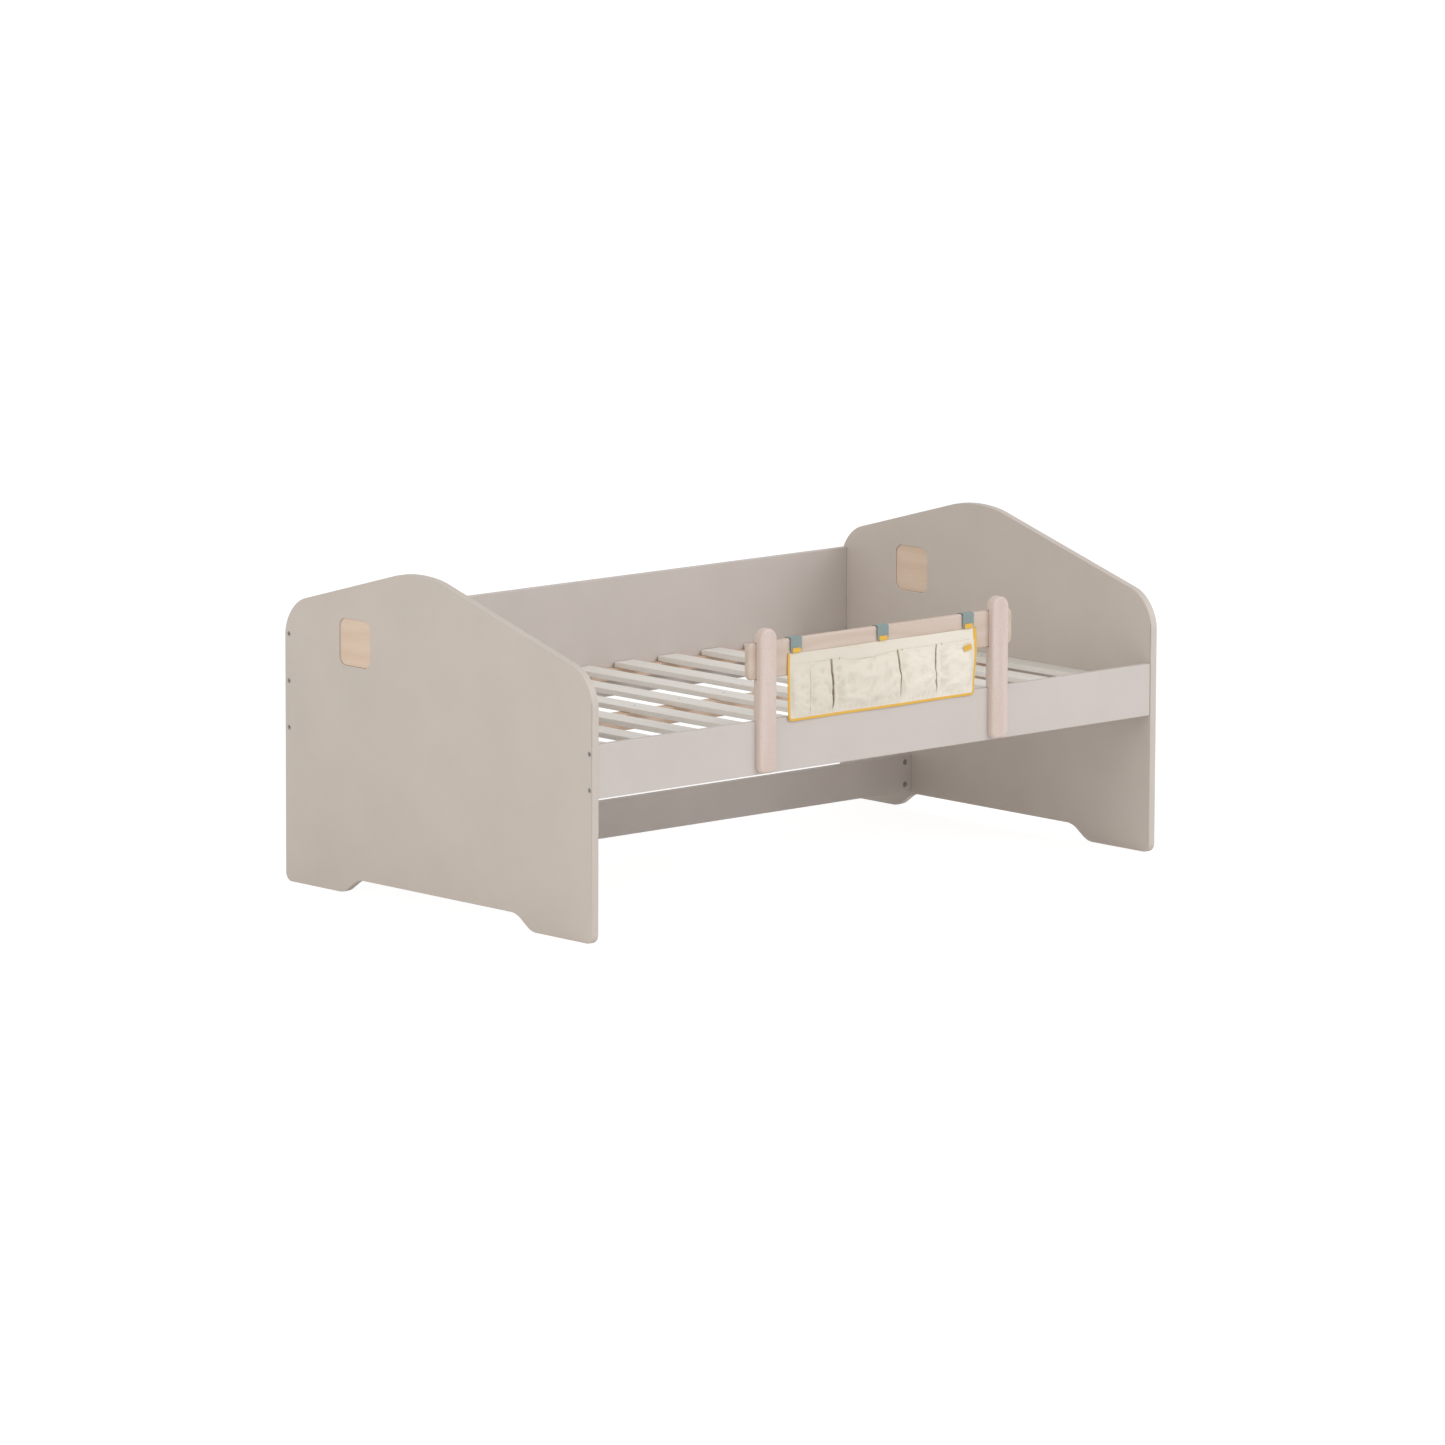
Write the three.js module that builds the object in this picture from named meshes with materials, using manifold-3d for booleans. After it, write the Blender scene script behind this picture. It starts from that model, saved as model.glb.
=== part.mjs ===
// A child's bed: two house-shaped end panels, joined by a side rail, a back panel and a low stretcher.
// A deck of slats lies inside, a guard rail hooks over the side rail, and a canvas organizer hangs on it.
// Millimetres, +Z up. The bed's own frame has x along its length from the middle, y from the front edge of
// the end panels towards the back, and z from the floor.
import * as THREE from "three";
import { mergeVertices } from "three/addons/utils/BufferGeometryUtils.js";
import Module from "manifold-3d";

const wasm = await Module();
wasm.setup();

// Overall
const bedLength = 2080;
const bedDepth = 1248;
const gap = 0.3; // between pieces that touch
const arcSteps = 9;
const rodSides = 12;
const headSides = 18;

// End panels
const endThickness = 22;
const ridgeFromFront = 694;
const ridgeHeight = 913; // where the two roof slopes would meet before they are rounded
const frontEaveHeight = 706;
const backEaveHeight = 760;
const ridgeRadius = 355;
const eaveRadius = 112;
const footLength = 243;
const footSlant = 60;
const footHeight = 42;
const footRadius = 60;
const footCornerRadius = 24;

// Window inlays
const windowSize = 128;
const windowRadius = 24;
const windowFromBack = 290;
const windowHeight = 684; // of its centre
const inlayThickness = 14;

// Long boards
const boardThickness = 18;
const boardBottom = 384; // of the side rail and the back panel
const railInset = 3; // behind the end panels' front edge
const railHeight = 144;
const backInset = 8;
const backHeight = 333;
const stretcherFromFront = 951;
const stretcherBottom = 50;
const stretcherHeight = 105;

// Deck
const deckDrop = 48; // from the side rail's top edge to the slats' tops
const slatCount = 13;
const slatWidth = 72;
const slatThickness = 15;
const slatEndPlay = 3;
const cleatSection = 30;
const beamSection = 45;
const beamFromFront = 630; // its centre line
const hangerPlate = 2;
const hangerDepth = 36;
const hangerEar = 22;

// Fittings
const boltHeadRadius = 6.5;
const boltHeadThickness = 3;
const boltRadius = 3;
const boltReach = 48; // into the end of a board
const boltSocketRadius = 2.6;
const railBoltPitch = 96;
const backBoltPitch = 128;
const camPitch = 64;
const camRadius = 7.5;
const camDepth = 12.5;
const camCrossReach = 6.75; // of the driver slots in its face
const camCrossWidth = 1.6;
const camCrossDepth = 1.5;
const camFromEnd = 24;
const camDowelRadius = 3;
const camDowelInPanel = 11;

// Guard rail
const postWidth = 60;
const postDepth = 32;
const postLeg = 18; // the part in front of the side rail
const postLift = 4; // the leg's foot above the side rail's lower edge
const postHead = 37; // above the guard board
const postSpacing = 855;
const postEdge = 6; // how far its front and back edges are rounded
const postFootRadius = 12;
const guardBoardPast = 28.5; // past each post
const guardBoardHeight = 100;
const guardBoardRise = 111; // above the side rail
const guardBoardThickness = 18;
const guardBoardCorner = 16;
const guardBoardEdge = 3; // how far its front and back edges are rounded
const pinRadius = 4;
const pinInPost = 18;
const pinInRail = 28;
const screwPitch = 50;
const screwRadius = 2.2;
const screwHeadRadius = 4.4;
const screwHeadRim = 0.4; // straight part of the head, above its cone
const screwReach = 13; // into the post's leg

// Organizer
const organizerSidePlay = 52.5; // to each post
const organizerDrop = 41; // from the guard board's top edge to the cloth's
const organizerHeight = 182;
const organizerPlay = 1; // in front of the side rail
const clothThickness = 1.5;
const bindingWidth = 6;
const bindingThickness = 3;
const pocketDrop = 30; // from the cloth's top edge to the pockets' mouths
const pocketDepth = 14;
const pocketShares = [0.106, 0.12, 0.36, 0.209, 0.205]; // of the strip's width, from the left
const strapWidth = 40;
const strapFromSide = 28; // its middle, from the organizer's side
const strapLap = 7; // below the cloth's top edge
const tagWidth = 30;
const tagHeight = 18;
const tagThickness = 1;
const tagFromSide = 37;
const tagDrop = 20; // below the pockets' mouths
const tagTurn = 0.2;

// Places that several pieces share
const endInner = bedLength / 2 - endThickness;
const boardEnd = endInner - gap;
const railBack = railInset + boardThickness;
const railTop = boardBottom + railHeight;
const deckTop = railTop - deckDrop;
const backFace = bedDepth - backInset - boardThickness;
const slatUnder = deckTop - slatThickness;
const cleatTop = slatUnder - gap;
const legBack = railInset - gap;
const postFront = legBack - postLeg;
const postBack = postFront + postDepth;
const guardBoardBottom = railTop + guardBoardRise;
const guardBoardTop = guardBoardBottom + guardBoardHeight;
const guardBoardLength = postSpacing + postWidth + 2 * guardBoardPast;
const postTop = guardBoardTop + postHead;
const guardBoardBack = railInset + guardBoardThickness;
const pinY = (railInset + postBack) / 2;
const sides = { left: -1, right: 1 };

const bed = new THREE.Group();
bed.position.y = -(postFront + bedDepth) / 2;

// Materials

function surface(color, roughness, metalness = 0) {
  return new THREE.MeshStandardMaterial({ color, roughness, metalness });
}

const greige = surface("#c5bcb2", 0.55);
const paleWood = surface("#d9c4a8", 0.6);
const beech = surface("#dfcabd", 0.5);
const slatWood = surface("#d8d2cb", 0.6);
const pine = surface("#d8b39a", 0.7);
const steel = surface("#b9b6b2", 0.35, 0.9);
const canvas = surface("#e6e0d2", 0.95);
const mustard = surface("#eab955", 0.9);
const teal = surface("#93a5a1", 0.9);

// Shapes

function add(name, geometry, material) {
  const mesh = new THREE.Mesh(geometry, material);
  mesh.name = name;
  bed.add(mesh);
}

// A box from a low and a high value along each axis.
function block([x0, x1], [y0, y1], [z0, z1]) {
  const box = new THREE.BoxGeometry(x1 - x0, y1 - y0, z1 - z0);
  return box.translate((x0 + x1) / 2, (y0 + y1) / 2, (z0 + z1) / 2);
}

// The span from one value to another, in rising order.
const span = (a, b) => [Math.min(a, b), Math.max(a, b)];

// Turns a geometry that stands along +Y so that it stands along an axis, with its base at a place.
function aim(geometry, direction, place) {
  const up = new THREE.Vector3(0, 1, 0);
  geometry.applyQuaternion(new THREE.Quaternion().setFromUnitVectors(up, direction));
  return geometry.translate(...place);
}

const along = {
  left: new THREE.Vector3(-1, 0, 0),
  right: new THREE.Vector3(1, 0, 0),
  front: new THREE.Vector3(0, -1, 0),
  up: new THREE.Vector3(0, 0, 1),
};

// A round rod, or the hole for one, that starts at a place and runs along a direction.
function rod(radius, length, direction, place, segments = rodSides) {
  const shaft = new THREE.CylinderGeometry(radius, radius, length, segments);
  return aim(shaft.translate(0, length / 2, 0), direction, place);
}

// A turned piece from [radius, height] points that start and end on its axis.
function turned(points, direction, place, segments = rodSides) {
  const profile = points.map(([radius, height]) => new THREE.Vector2(radius, height));
  return aim(new THREE.LatheGeometry(profile, segments), direction, place);
}

// A closed outline through [u, v, radius] corners, each rounded by its radius.
function roundedShape(corners) {
  const shape = new THREE.Shape();
  corners.forEach(([u, v, radius], i) => {
    const corner = new THREE.Vector2(u, v);
    const [before, after] = [corners.at(i - 1), corners[(i + 1) % corners.length]];
    const toBefore = new THREE.Vector2(before[0] - u, before[1] - v).normalize();
    const toAfter = new THREE.Vector2(after[0] - u, after[1] - v).normalize();
    if (radius === 0) {
      if (i === 0) shape.moveTo(u, v);
      else shape.lineTo(u, v);
      return;
    }
    const half = Math.acos(toBefore.dot(toAfter)) / 2;
    const bisector = toBefore.clone().add(toAfter).normalize();
    const centre = corner.clone().addScaledVector(bisector, radius / Math.sin(half));
    const start = corner.clone().addScaledVector(toBefore, radius / Math.tan(half)).sub(centre);
    const end = corner.clone().addScaledVector(toAfter, radius / Math.tan(half)).sub(centre);
    const clockwise = toBefore.cross(toAfter) > 0;
    if (i === 0) shape.moveTo(centre.x + start.x, centre.y + start.y);
    shape.absarc(centre.x, centre.y, radius, start.angle(), end.angle(), clockwise);
  });
  shape.closePath();
  return shape;
}

// A side outline in y and z, pulled along x.
function pullAlongX(shape, [x0, x1]) {
  const pulled = new THREE.ExtrudeGeometry(shape, {
    depth: x1 - x0,
    bevelEnabled: false,
    curveSegments: arcSteps,
  });
  const [x, y, z] = [new THREE.Vector3(1, 0, 0), new THREE.Vector3(0, 1, 0), new THREE.Vector3(0, 0, 1)];
  return pulled.applyMatrix4(new THREE.Matrix4().makeBasis(y, z, x)).translate(x0, 0, 0);
}

// A front outline in x and z, pulled along y, with its front and back edges rounded by a bevel.
function pullAlongY(shape, [y0, y1], bevel = 0, bevelSegments = 3) {
  const pulled = new THREE.ExtrudeGeometry(shape, {
    depth: y1 - y0 - 2 * bevel,
    bevelEnabled: bevel > 0,
    bevelSize: bevel,
    bevelOffset: -bevel,
    bevelThickness: bevel,
    bevelSegments,
    curveSegments: arcSteps,
  });
  return pulled.rotateX(Math.PI / 2).translate(0, y1 - bevel, 0);
}

// Joining and cutting

function toSolid(geometry) {
  const bare = geometry.index ? geometry.toNonIndexed() : geometry.clone();
  bare.deleteAttribute("normal");
  bare.deleteAttribute("uv");
  const merged = mergeVertices(bare, 1e-4);
  return new wasm.Manifold(
    new wasm.Mesh({
      numProp: 3,
      vertProperties: new Float32Array(merged.attributes.position.array),
      triVerts: new Uint32Array(merged.index.array),
    }),
  );
}

function toGeometry(solid) {
  const { vertProperties, triVerts } = solid.getMesh();
  const geometry = new THREE.BufferGeometry();
  geometry.setAttribute("position", new THREE.BufferAttribute(vertProperties, 3));
  geometry.setIndex(new THREE.BufferAttribute(triVerts, 1));
  const facets = geometry.toNonIndexed();
  facets.computeVertexNormals();
  return facets;
}

function cut(geometry, tools) {
  return toGeometry(tools.reduce((rest, tool) => rest.subtract(toSolid(tool)), toSolid(geometry)));
}

function common(one, other) {
  return toGeometry(toSolid(one).intersect(toSolid(other)));
}

function joined(...pieces) {
  return toGeometry(pieces.map(toSolid).reduce((whole, piece) => whole.add(piece)));
}

// Where the fittings sit

const railMiddle = { y: railInset + boardThickness / 2, z: boardBottom + railHeight / 2 };
const backMiddle = { y: backFace + boardThickness / 2, z: boardBottom + backHeight / 2 };
const stretcherMiddle = {
  y: stretcherFromFront + boardThickness / 2,
  z: stretcherBottom + stretcherHeight / 2,
};

const railBolts = [-0.5, 0.5].map((step) => ({ y: railMiddle.y, z: railMiddle.z + step * railBoltPitch }));
const backBolts = [-1, 0, 1].map((step) => ({ y: backMiddle.y, z: backMiddle.z + step * backBoltPitch }));
const cams = [-0.5, 0.5].map((step) => ({
  y: stretcherMiddle.y,
  z: stretcherMiddle.z + step * camPitch,
}));

// The hole in a board's two ends for each bolt or dowel.
function endHoles(places, radius, depth) {
  return places.flatMap(({ y, z }) => [
    rod(radius, depth, along.left, [boardEnd + gap, y, z]),
    rod(radius, depth, along.right, [-boardEnd - gap, y, z]),
  ]);
}

// End panels

function housePanel() {
  const foot = footLength + footSlant;
  return roundedShape([
    [0, 0, footCornerRadius],
    [footLength, 0, footRadius],
    [foot, footHeight, footRadius],
    [bedDepth - foot, footHeight, footRadius],
    [bedDepth - footLength, 0, footRadius],
    [bedDepth, 0, footCornerRadius],
    [bedDepth, backEaveHeight, eaveRadius],
    [ridgeFromFront, ridgeHeight, ridgeRadius],
    [0, frontEaveHeight, eaveRadius],
  ]);
}

// The window's outline, smaller all round by the given margin.
function windowOutline(margin) {
  const half = windowSize / 2 - margin;
  const middle = bedDepth - windowFromBack;
  const radius = windowRadius - margin;
  return roundedShape([
    [middle - half, windowHeight - half, radius],
    [middle + half, windowHeight - half, radius],
    [middle + half, windowHeight + half, radius],
    [middle - half, windowHeight + half, radius],
  ]);
}

function endPanel(side) {
  const outline = housePanel();
  outline.holes.push(windowOutline(0));
  const panel = pullAlongX(outline, span(side * endInner, side * (bedLength / 2)));
  const [inward, outward] = side > 0 ? [along.left, along.right] : [along.right, along.left];
  const outer = side * (bedLength / 2);
  const tools = [...railBolts, ...backBolts].flatMap(({ y, z }) => [
    rod(boltHeadRadius + gap, boltHeadThickness + 2 * gap, inward, [outer, y, z], headSides),
    rod(boltRadius + gap, endThickness, inward, [outer, y, z]),
  ]);
  for (const { y, z } of cams) {
    tools.push(rod(camDowelRadius + gap, camDowelInPanel + gap, outward, [side * endInner, y, z]));
  }
  return cut(panel, tools);
}

function windowInlay(side) {
  const middle = side * (bedLength - endThickness) / 2;
  return pullAlongX(windowOutline(gap), [middle - inlayThickness / 2, middle + inlayThickness / 2]);
}

for (const [name, side] of Object.entries(sides)) {
  add(`${name}_end_panel`, endPanel(side), greige);
  add(`${name}_window_inlay`, windowInlay(side), paleWood);
}

// Long boards

const pinHoles = [-0.5, 0.5].map((step) =>
  rod(pinRadius + gap, pinInRail + gap, along.up, [step * postSpacing, pinY, railTop - pinInRail - gap]),
);

const frontRail = block([-boardEnd, boardEnd], [railInset, railBack], [boardBottom, railTop]);
const railBoltHoles = endHoles(railBolts, boltRadius + gap, boltReach + gap);
add("front_side_rail", cut(frontRail, [...railBoltHoles, ...pinHoles]), greige);

const backSpan = [boardBottom, boardBottom + backHeight];
const backBoard = block([-boardEnd, boardEnd], [backFace, backFace + boardThickness], backSpan);
add("back_panel", cut(backBoard, endHoles(backBolts, boltRadius + gap, boltReach + gap)), greige);

function stretcher() {
  const board = block(
    [-boardEnd, boardEnd],
    [stretcherFromFront, stretcherFromFront + boardThickness],
    [stretcherBottom, stretcherBottom + stretcherHeight],
  );
  const pockets = cams.flatMap(({ z }) =>
    [-1, 1].map((side) => {
      const place = [side * (boardEnd - camFromEnd), stretcherFromFront + camDepth + gap, z];
      return rod(camRadius + gap, camDepth + gap, along.front, place, headSides);
    }),
  );
  return cut(board, [...endHoles(cams, camDowelRadius + gap, camFromEnd), ...pockets]);
}

add("lower_stretcher", stretcher(), greige);

// Deck

const cleatSpan = [cleatTop - cleatSection, cleatTop];
const rearCleatY = [backFace - gap - cleatSection, backFace - gap];
const frontCleatY = [railBack + gap, railBack + gap + cleatSection];
add("front_cleat", block([-boardEnd, boardEnd], frontCleatY, cleatSpan), pine);
add("rear_cleat", block([-boardEnd, boardEnd], rearCleatY, cleatSpan), pine);

const beamEnd = boardEnd - hangerPlate - gap;
const beamY = [beamFromFront - beamSection / 2, beamFromFront + beamSection / 2];
const beamZ = [cleatTop - beamSection, cleatTop];
add("centre_beam", block([-beamEnd, beamEnd], beamY, beamZ), pine);

// A stirrup of bent plate: a back with two ears against the end panel, and a tray under the beam.
function beamHanger(side) {
  const [low, high] = [beamZ[0] - gap - hangerPlate, cleatTop - gap];
  const trayY = [beamY[0] - gap - hangerPlate, beamY[1] + gap + hangerPlate];
  const plate = block(
    span(side * boardEnd, side * (boardEnd - hangerPlate)),
    [trayY[0] - hangerEar, trayY[1] + hangerEar],
    [low, high],
  );
  const tray = block(span(side * boardEnd, side * (boardEnd - hangerDepth)), trayY, [low, high]);
  const inside = block(
    span(side * (boardEnd - hangerPlate), side * (boardEnd - hangerDepth - 1)),
    [beamY[0] - gap, beamY[1] + gap],
    [beamZ[0] - gap, high + 1],
  );
  const screwHoles = [-1, 1].map((ear) => {
    const y = beamFromFront + ear * (beamSection / 2 + hangerPlate + hangerEar / 2);
    const x = side * boardEnd - hangerPlate * 1.5;
    return rod(screwRadius, hangerPlate * 3, along.right, [x, y, (low + high) / 2]);
  });
  return cut(joined(plate, tray), [inside, ...screwHoles]);
}

for (const [name, side] of Object.entries(sides)) {
  add(`${name}_beam_hanger`, beamHanger(side), steel);
}

const slatPitch = (2 * boardEnd - slatWidth - 2 * gap) / (slatCount - 1);
for (let i = 0; i < slatCount; i++) {
  const x = (i - (slatCount - 1) / 2) * slatPitch;
  const slat = block(
    [x - slatWidth / 2, x + slatWidth / 2],
    [railBack + slatEndPlay, backFace - slatEndPlay],
    [slatUnder, deckTop],
  );
  add(`slat_${String(i + 1).padStart(2, "0")}`, slat, slatWood);
}

// Fittings in the end panels

// A flat-headed bolt with a six-sided socket, its head flush with the panel's outer face.
function panelBolt(side, { y, z }) {
  const inward = side > 0 ? along.left : along.right;
  const length = endThickness + boltReach;
  const bolt = turned(
    [
      [0, 0],
      [boltHeadRadius, 0],
      [boltHeadRadius, boltHeadThickness],
      [boltRadius, boltHeadThickness],
      [boltRadius, length],
      [0, length],
    ],
    inward,
    [side * (bedLength / 2 - gap), y, z],
    headSides,
  );
  const socketStart = side * (bedLength / 2);
  return cut(bolt, [rod(boltSocketRadius, boltHeadThickness, inward, [socketStart, y, z], 6)]);
}

for (const [name, side] of Object.entries(sides)) {
  railBolts.forEach((place, i) => add(`${name}_rail_bolt_${i + 1}`, panelBolt(side, place), steel));
  backBolts.forEach((place, i) => add(`${name}_back_bolt_${i + 1}`, panelBolt(side, place), steel));
}

// A cam lock set in the stretcher's front face, with a slot for the end of its dowel.
function camLock(side, { y, z }) {
  const x = side * (boardEnd - camFromEnd);
  const lock = rod(camRadius, camDepth, along.front, [x, stretcherFromFront + camDepth, z], headSides);
  const slot = rod(camDowelRadius + gap, camRadius + 1, side > 0 ? along.right : along.left, [x, y, z]);
  const [reach, half] = [camCrossReach, camCrossWidth / 2];
  const crossY = [stretcherFromFront - 1, stretcherFromFront + camCrossDepth];
  const cross = [
    block([x - reach, x + reach], crossY, [z - half, z + half]),
    block([x - half, x + half], crossY, [z - reach, z + reach]),
  ];
  return cut(lock, [slot, ...cross]);
}

function camDowel(side, { y, z }) {
  const start = boardEnd - camFromEnd + gap;
  const length = endInner + camDowelInPanel - start;
  return rod(camDowelRadius, length, side > 0 ? along.right : along.left, [side * start, y, z]);
}

for (const [name, side] of Object.entries(sides)) {
  cams.forEach((place, i) => {
    add(`${name}_cam_lock_${i + 1}`, camLock(side, place), steel);
    add(`${name}_cam_dowel_${i + 1}`, camDowel(side, place), steel);
  });
}

// Guard rail

const screwHeights = [-0.5, 0.5].map((step) => guardBoardBottom + guardBoardHeight / 2 + step * screwPitch);

// A post's front outline, round at the top and softened at the foot.
function postOutline(x) {
  const half = postWidth / 2;
  const footMiddle = boardBottom + postLift + postFootRadius;
  const shape = new THREE.Shape();
  shape.absarc(x - half + postFootRadius, footMiddle, postFootRadius, Math.PI, 1.5 * Math.PI);
  shape.absarc(x + half - postFootRadius, footMiddle, postFootRadius, 1.5 * Math.PI, 2 * Math.PI);
  shape.absarc(x, postTop - half, half, 0, Math.PI);
  shape.closePath();
  return shape;
}

// A post's side outline: a leg in front of the side rail, a shoulder on it and a housing for the board.
function postSide() {
  const bottom = boardBottom + postLift;
  return new THREE.Shape(
    [
      [postFront - 1, bottom - 1],
      [legBack, bottom - 1],
      [legBack, railTop + gap],
      [postBack, railTop + gap],
      [postBack, guardBoardBottom - gap],
      [legBack, guardBoardBottom - gap],
      [legBack, guardBoardTop + gap],
      [postBack, guardBoardTop + gap],
      [postBack, postTop + 1],
      [postFront - 1, postTop + 1],
    ].map(([y, z]) => new THREE.Vector2(y, z)),
  );
}

function guardPost(x) {
  const front = pullAlongY(postOutline(x), [postFront, postBack], postEdge);
  const side = pullAlongX(postSide(), [x - postWidth, x + postWidth]);
  const pinHole = rod(pinRadius + gap / 2, pinInPost + gap, along.up, [x, pinY, railTop]);
  const screwHoles = screwHeights.map((z) =>
    rod(screwRadius + gap / 2, screwReach + gap, along.front, [x, legBack, z]),
  );
  return cut(common(front, side), [pinHole, ...screwHoles]);
}

// The board, with rounded ends that show past the posts.
function guardBoard() {
  const half = guardBoardLength / 2;
  const outline = roundedShape([
    [-half, guardBoardBottom, guardBoardCorner],
    [half, guardBoardBottom, guardBoardCorner],
    [half, guardBoardTop, guardBoardCorner],
    [-half, guardBoardTop, guardBoardCorner],
  ]);
  const board = pullAlongY(outline, [railInset, guardBoardBack], guardBoardEdge, 2);
  const holes = [-0.5, 0.5].flatMap((step) =>
    screwHeights.map((z) => screw(step * postSpacing, z, gap, guardBoardThickness)),
  );
  return cut(board, holes);
}

// A countersunk screw from the board's back, or the hole for one when it is made larger by a margin.
function screw(x, z, margin, reach) {
  const [head, shank] = [screwHeadRadius + margin, screwRadius + margin];
  const sink = head - shank;
  return turned(
    [
      [0, -margin],
      [head, -margin],
      [head, screwHeadRim],
      [shank, sink + screwHeadRim],
      [shank, reach],
      [0, reach + margin],
    ],
    along.front,
    [x, guardBoardBack - gap, z],
  );
}

for (const [name, side] of Object.entries(sides)) {
  const x = (side * postSpacing) / 2;
  add(`${name}_guard_post`, guardPost(x), beech);
  screwHeights.forEach((z, i) => {
    add(`${name}_guard_screw_${i + 1}`, screw(x, z, 0, guardBoardThickness + screwReach - gap), steel);
  });
  const pin = rod(pinRadius, pinInPost + pinInRail - gap, along.up, [x, pinY, railTop - pinInRail + gap]);
  add(`${name}_guard_pin`, pin, steel);
}
add("guard_board", guardBoard(), beech);

// Organizer

const organizerWidth = postSpacing - postWidth - 2 * organizerSidePlay;
const organizerTop = guardBoardTop - organizerDrop;
const organizerBottom = organizerTop - organizerHeight;
const pocketTop = organizerTop - pocketDrop;
const strapEnd = organizerTop - strapLap;
const clothBack = railInset - organizerPlay;
const clothFront = clothBack - clothThickness;
const sheetHalf = organizerWidth / 2 - bindingWidth - gap;
const sheetBottom = organizerBottom + bindingWidth + gap;
const pocketBack = clothFront - gap;
const pocketFront = pocketBack - pocketDepth;

const backSheet = block([-sheetHalf, sheetHalf], [clothFront, clothBack], [sheetBottom, organizerTop]);
add("organizer_back", backSheet, canvas);

// The pocket front: one strip with a floor and dividers, open at the top.
function pocketStrip() {
  const strip = block([-sheetHalf, sheetHalf], [pocketFront, pocketBack], [sheetBottom, pocketTop]);
  const edges = [-sheetHalf + clothThickness / 2];
  for (const share of pocketShares) {
    edges.push(edges.at(-1) + share * (2 * sheetHalf - clothThickness));
  }
  const insides = edges.slice(1).map((right, i) =>
    block(
      [edges[i] + clothThickness / 2, right - clothThickness / 2],
      [pocketFront + clothThickness, pocketBack - clothThickness],
      [sheetBottom + clothThickness, pocketTop + 1],
    ),
  );
  return cut(strip, insides);
}

add("organizer_pockets", pocketStrip(), canvas);

// The binding runs down one side, along the bottom and up the other.
function edgeBinding() {
  const half = organizerWidth / 2;
  const inner = half - bindingWidth;
  const outline = new THREE.Shape(
    [
      [-half, organizerTop],
      [-half, organizerBottom],
      [half, organizerBottom],
      [half, organizerTop],
      [inner, organizerTop],
      [inner, organizerBottom + bindingWidth],
      [-inner, organizerBottom + bindingWidth],
      [-inner, organizerTop],
    ].map(([x, z]) => new THREE.Vector2(x, z)),
  );
  const middle = (clothBack + clothFront) / 2;
  return pullAlongY(outline, [middle - bindingThickness / 2, middle + bindingThickness / 2]);
}

add("organizer_binding", edgeBinding(), mustard);

// A strap over the guard board: down in front of the cloth and a little way down the back.
function strap(x) {
  const front = clothFront - gap;
  const back = guardBoardBack + organizerPlay / 2;
  const top = guardBoardTop + organizerPlay / 2;
  const outer = block(
    [x - strapWidth / 2, x + strapWidth / 2],
    [front - clothThickness, back + clothThickness],
    [strapEnd, top + clothThickness],
  );
  return cut(outer, [block([x - strapWidth, x + strapWidth], [front, back], [strapEnd - 1, top])]);
}

["left", "middle", "right"].forEach((name, i) => {
  add(`${name}_strap`, strap((i - 1) * (organizerWidth / 2 - strapFromSide)), teal);
});

const tag = new THREE.BoxGeometry(tagWidth, tagThickness, tagHeight);
tag.rotateY(-tagTurn);
tag.translate(organizerWidth / 2 - tagFromSide, pocketFront - gap - tagThickness / 2, pocketTop - tagDrop);
add("organizer_tag", tag, mustard);

export default new THREE.Group().add(bed);
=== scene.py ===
# A child's bed: house-shaped ends, a slatted deck, a guard rail and a canvas organizer that hangs on it.
import math

import bmesh
import bpy
from mathutils import Matrix, Vector, noise


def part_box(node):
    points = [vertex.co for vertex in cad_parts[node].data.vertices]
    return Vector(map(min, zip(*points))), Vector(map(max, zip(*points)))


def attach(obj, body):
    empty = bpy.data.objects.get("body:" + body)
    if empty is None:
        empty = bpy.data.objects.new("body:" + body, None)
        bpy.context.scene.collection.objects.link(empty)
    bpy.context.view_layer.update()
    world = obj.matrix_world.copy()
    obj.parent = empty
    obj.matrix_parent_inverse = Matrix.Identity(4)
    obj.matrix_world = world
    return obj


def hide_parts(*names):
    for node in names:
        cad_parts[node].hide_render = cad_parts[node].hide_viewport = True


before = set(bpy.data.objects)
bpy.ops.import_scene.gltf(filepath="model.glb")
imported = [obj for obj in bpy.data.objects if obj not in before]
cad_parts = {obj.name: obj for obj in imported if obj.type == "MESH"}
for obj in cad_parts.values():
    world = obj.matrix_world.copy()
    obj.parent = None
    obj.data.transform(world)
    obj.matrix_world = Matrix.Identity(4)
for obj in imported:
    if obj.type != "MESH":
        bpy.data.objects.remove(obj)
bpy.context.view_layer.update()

print("the packed frame is loaded")

mm = 0.001


# Selecting and shaping

def only(piece):
    bpy.ops.object.select_all(action="DESELECT")
    piece.select_set(True)
    bpy.context.view_layer.objects.active = piece


def settle(piece):
    # the piece's place goes into its mesh, so that its object sits at the origin
    only(piece)
    bpy.ops.object.transform_apply(location=True, rotation=True, scale=True)
    return piece


def named(piece, name):
    piece.name = name
    piece.data.name = name
    return piece


def addBox(name, low, high):
    low, high = Vector(low), Vector(high)
    bpy.ops.object.select_all(action="DESELECT")
    bpy.ops.mesh.primitive_cube_add(size=1, location=(low + high) / 2, scale=high - low)
    return settle(named(bpy.context.active_object, name))


def addRod(name, start, end, radius, sides=32):
    start, end = Vector(start), Vector(end)
    turn = (end - start).to_track_quat("Z", "Y").to_euler()
    bpy.ops.object.select_all(action="DESELECT")
    bpy.ops.mesh.primitive_cylinder_add(
        vertices=sides, radius=radius, depth=(end - start).length, location=(start + end) / 2, rotation=turn
    )
    return settle(named(bpy.context.active_object, name))


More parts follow.
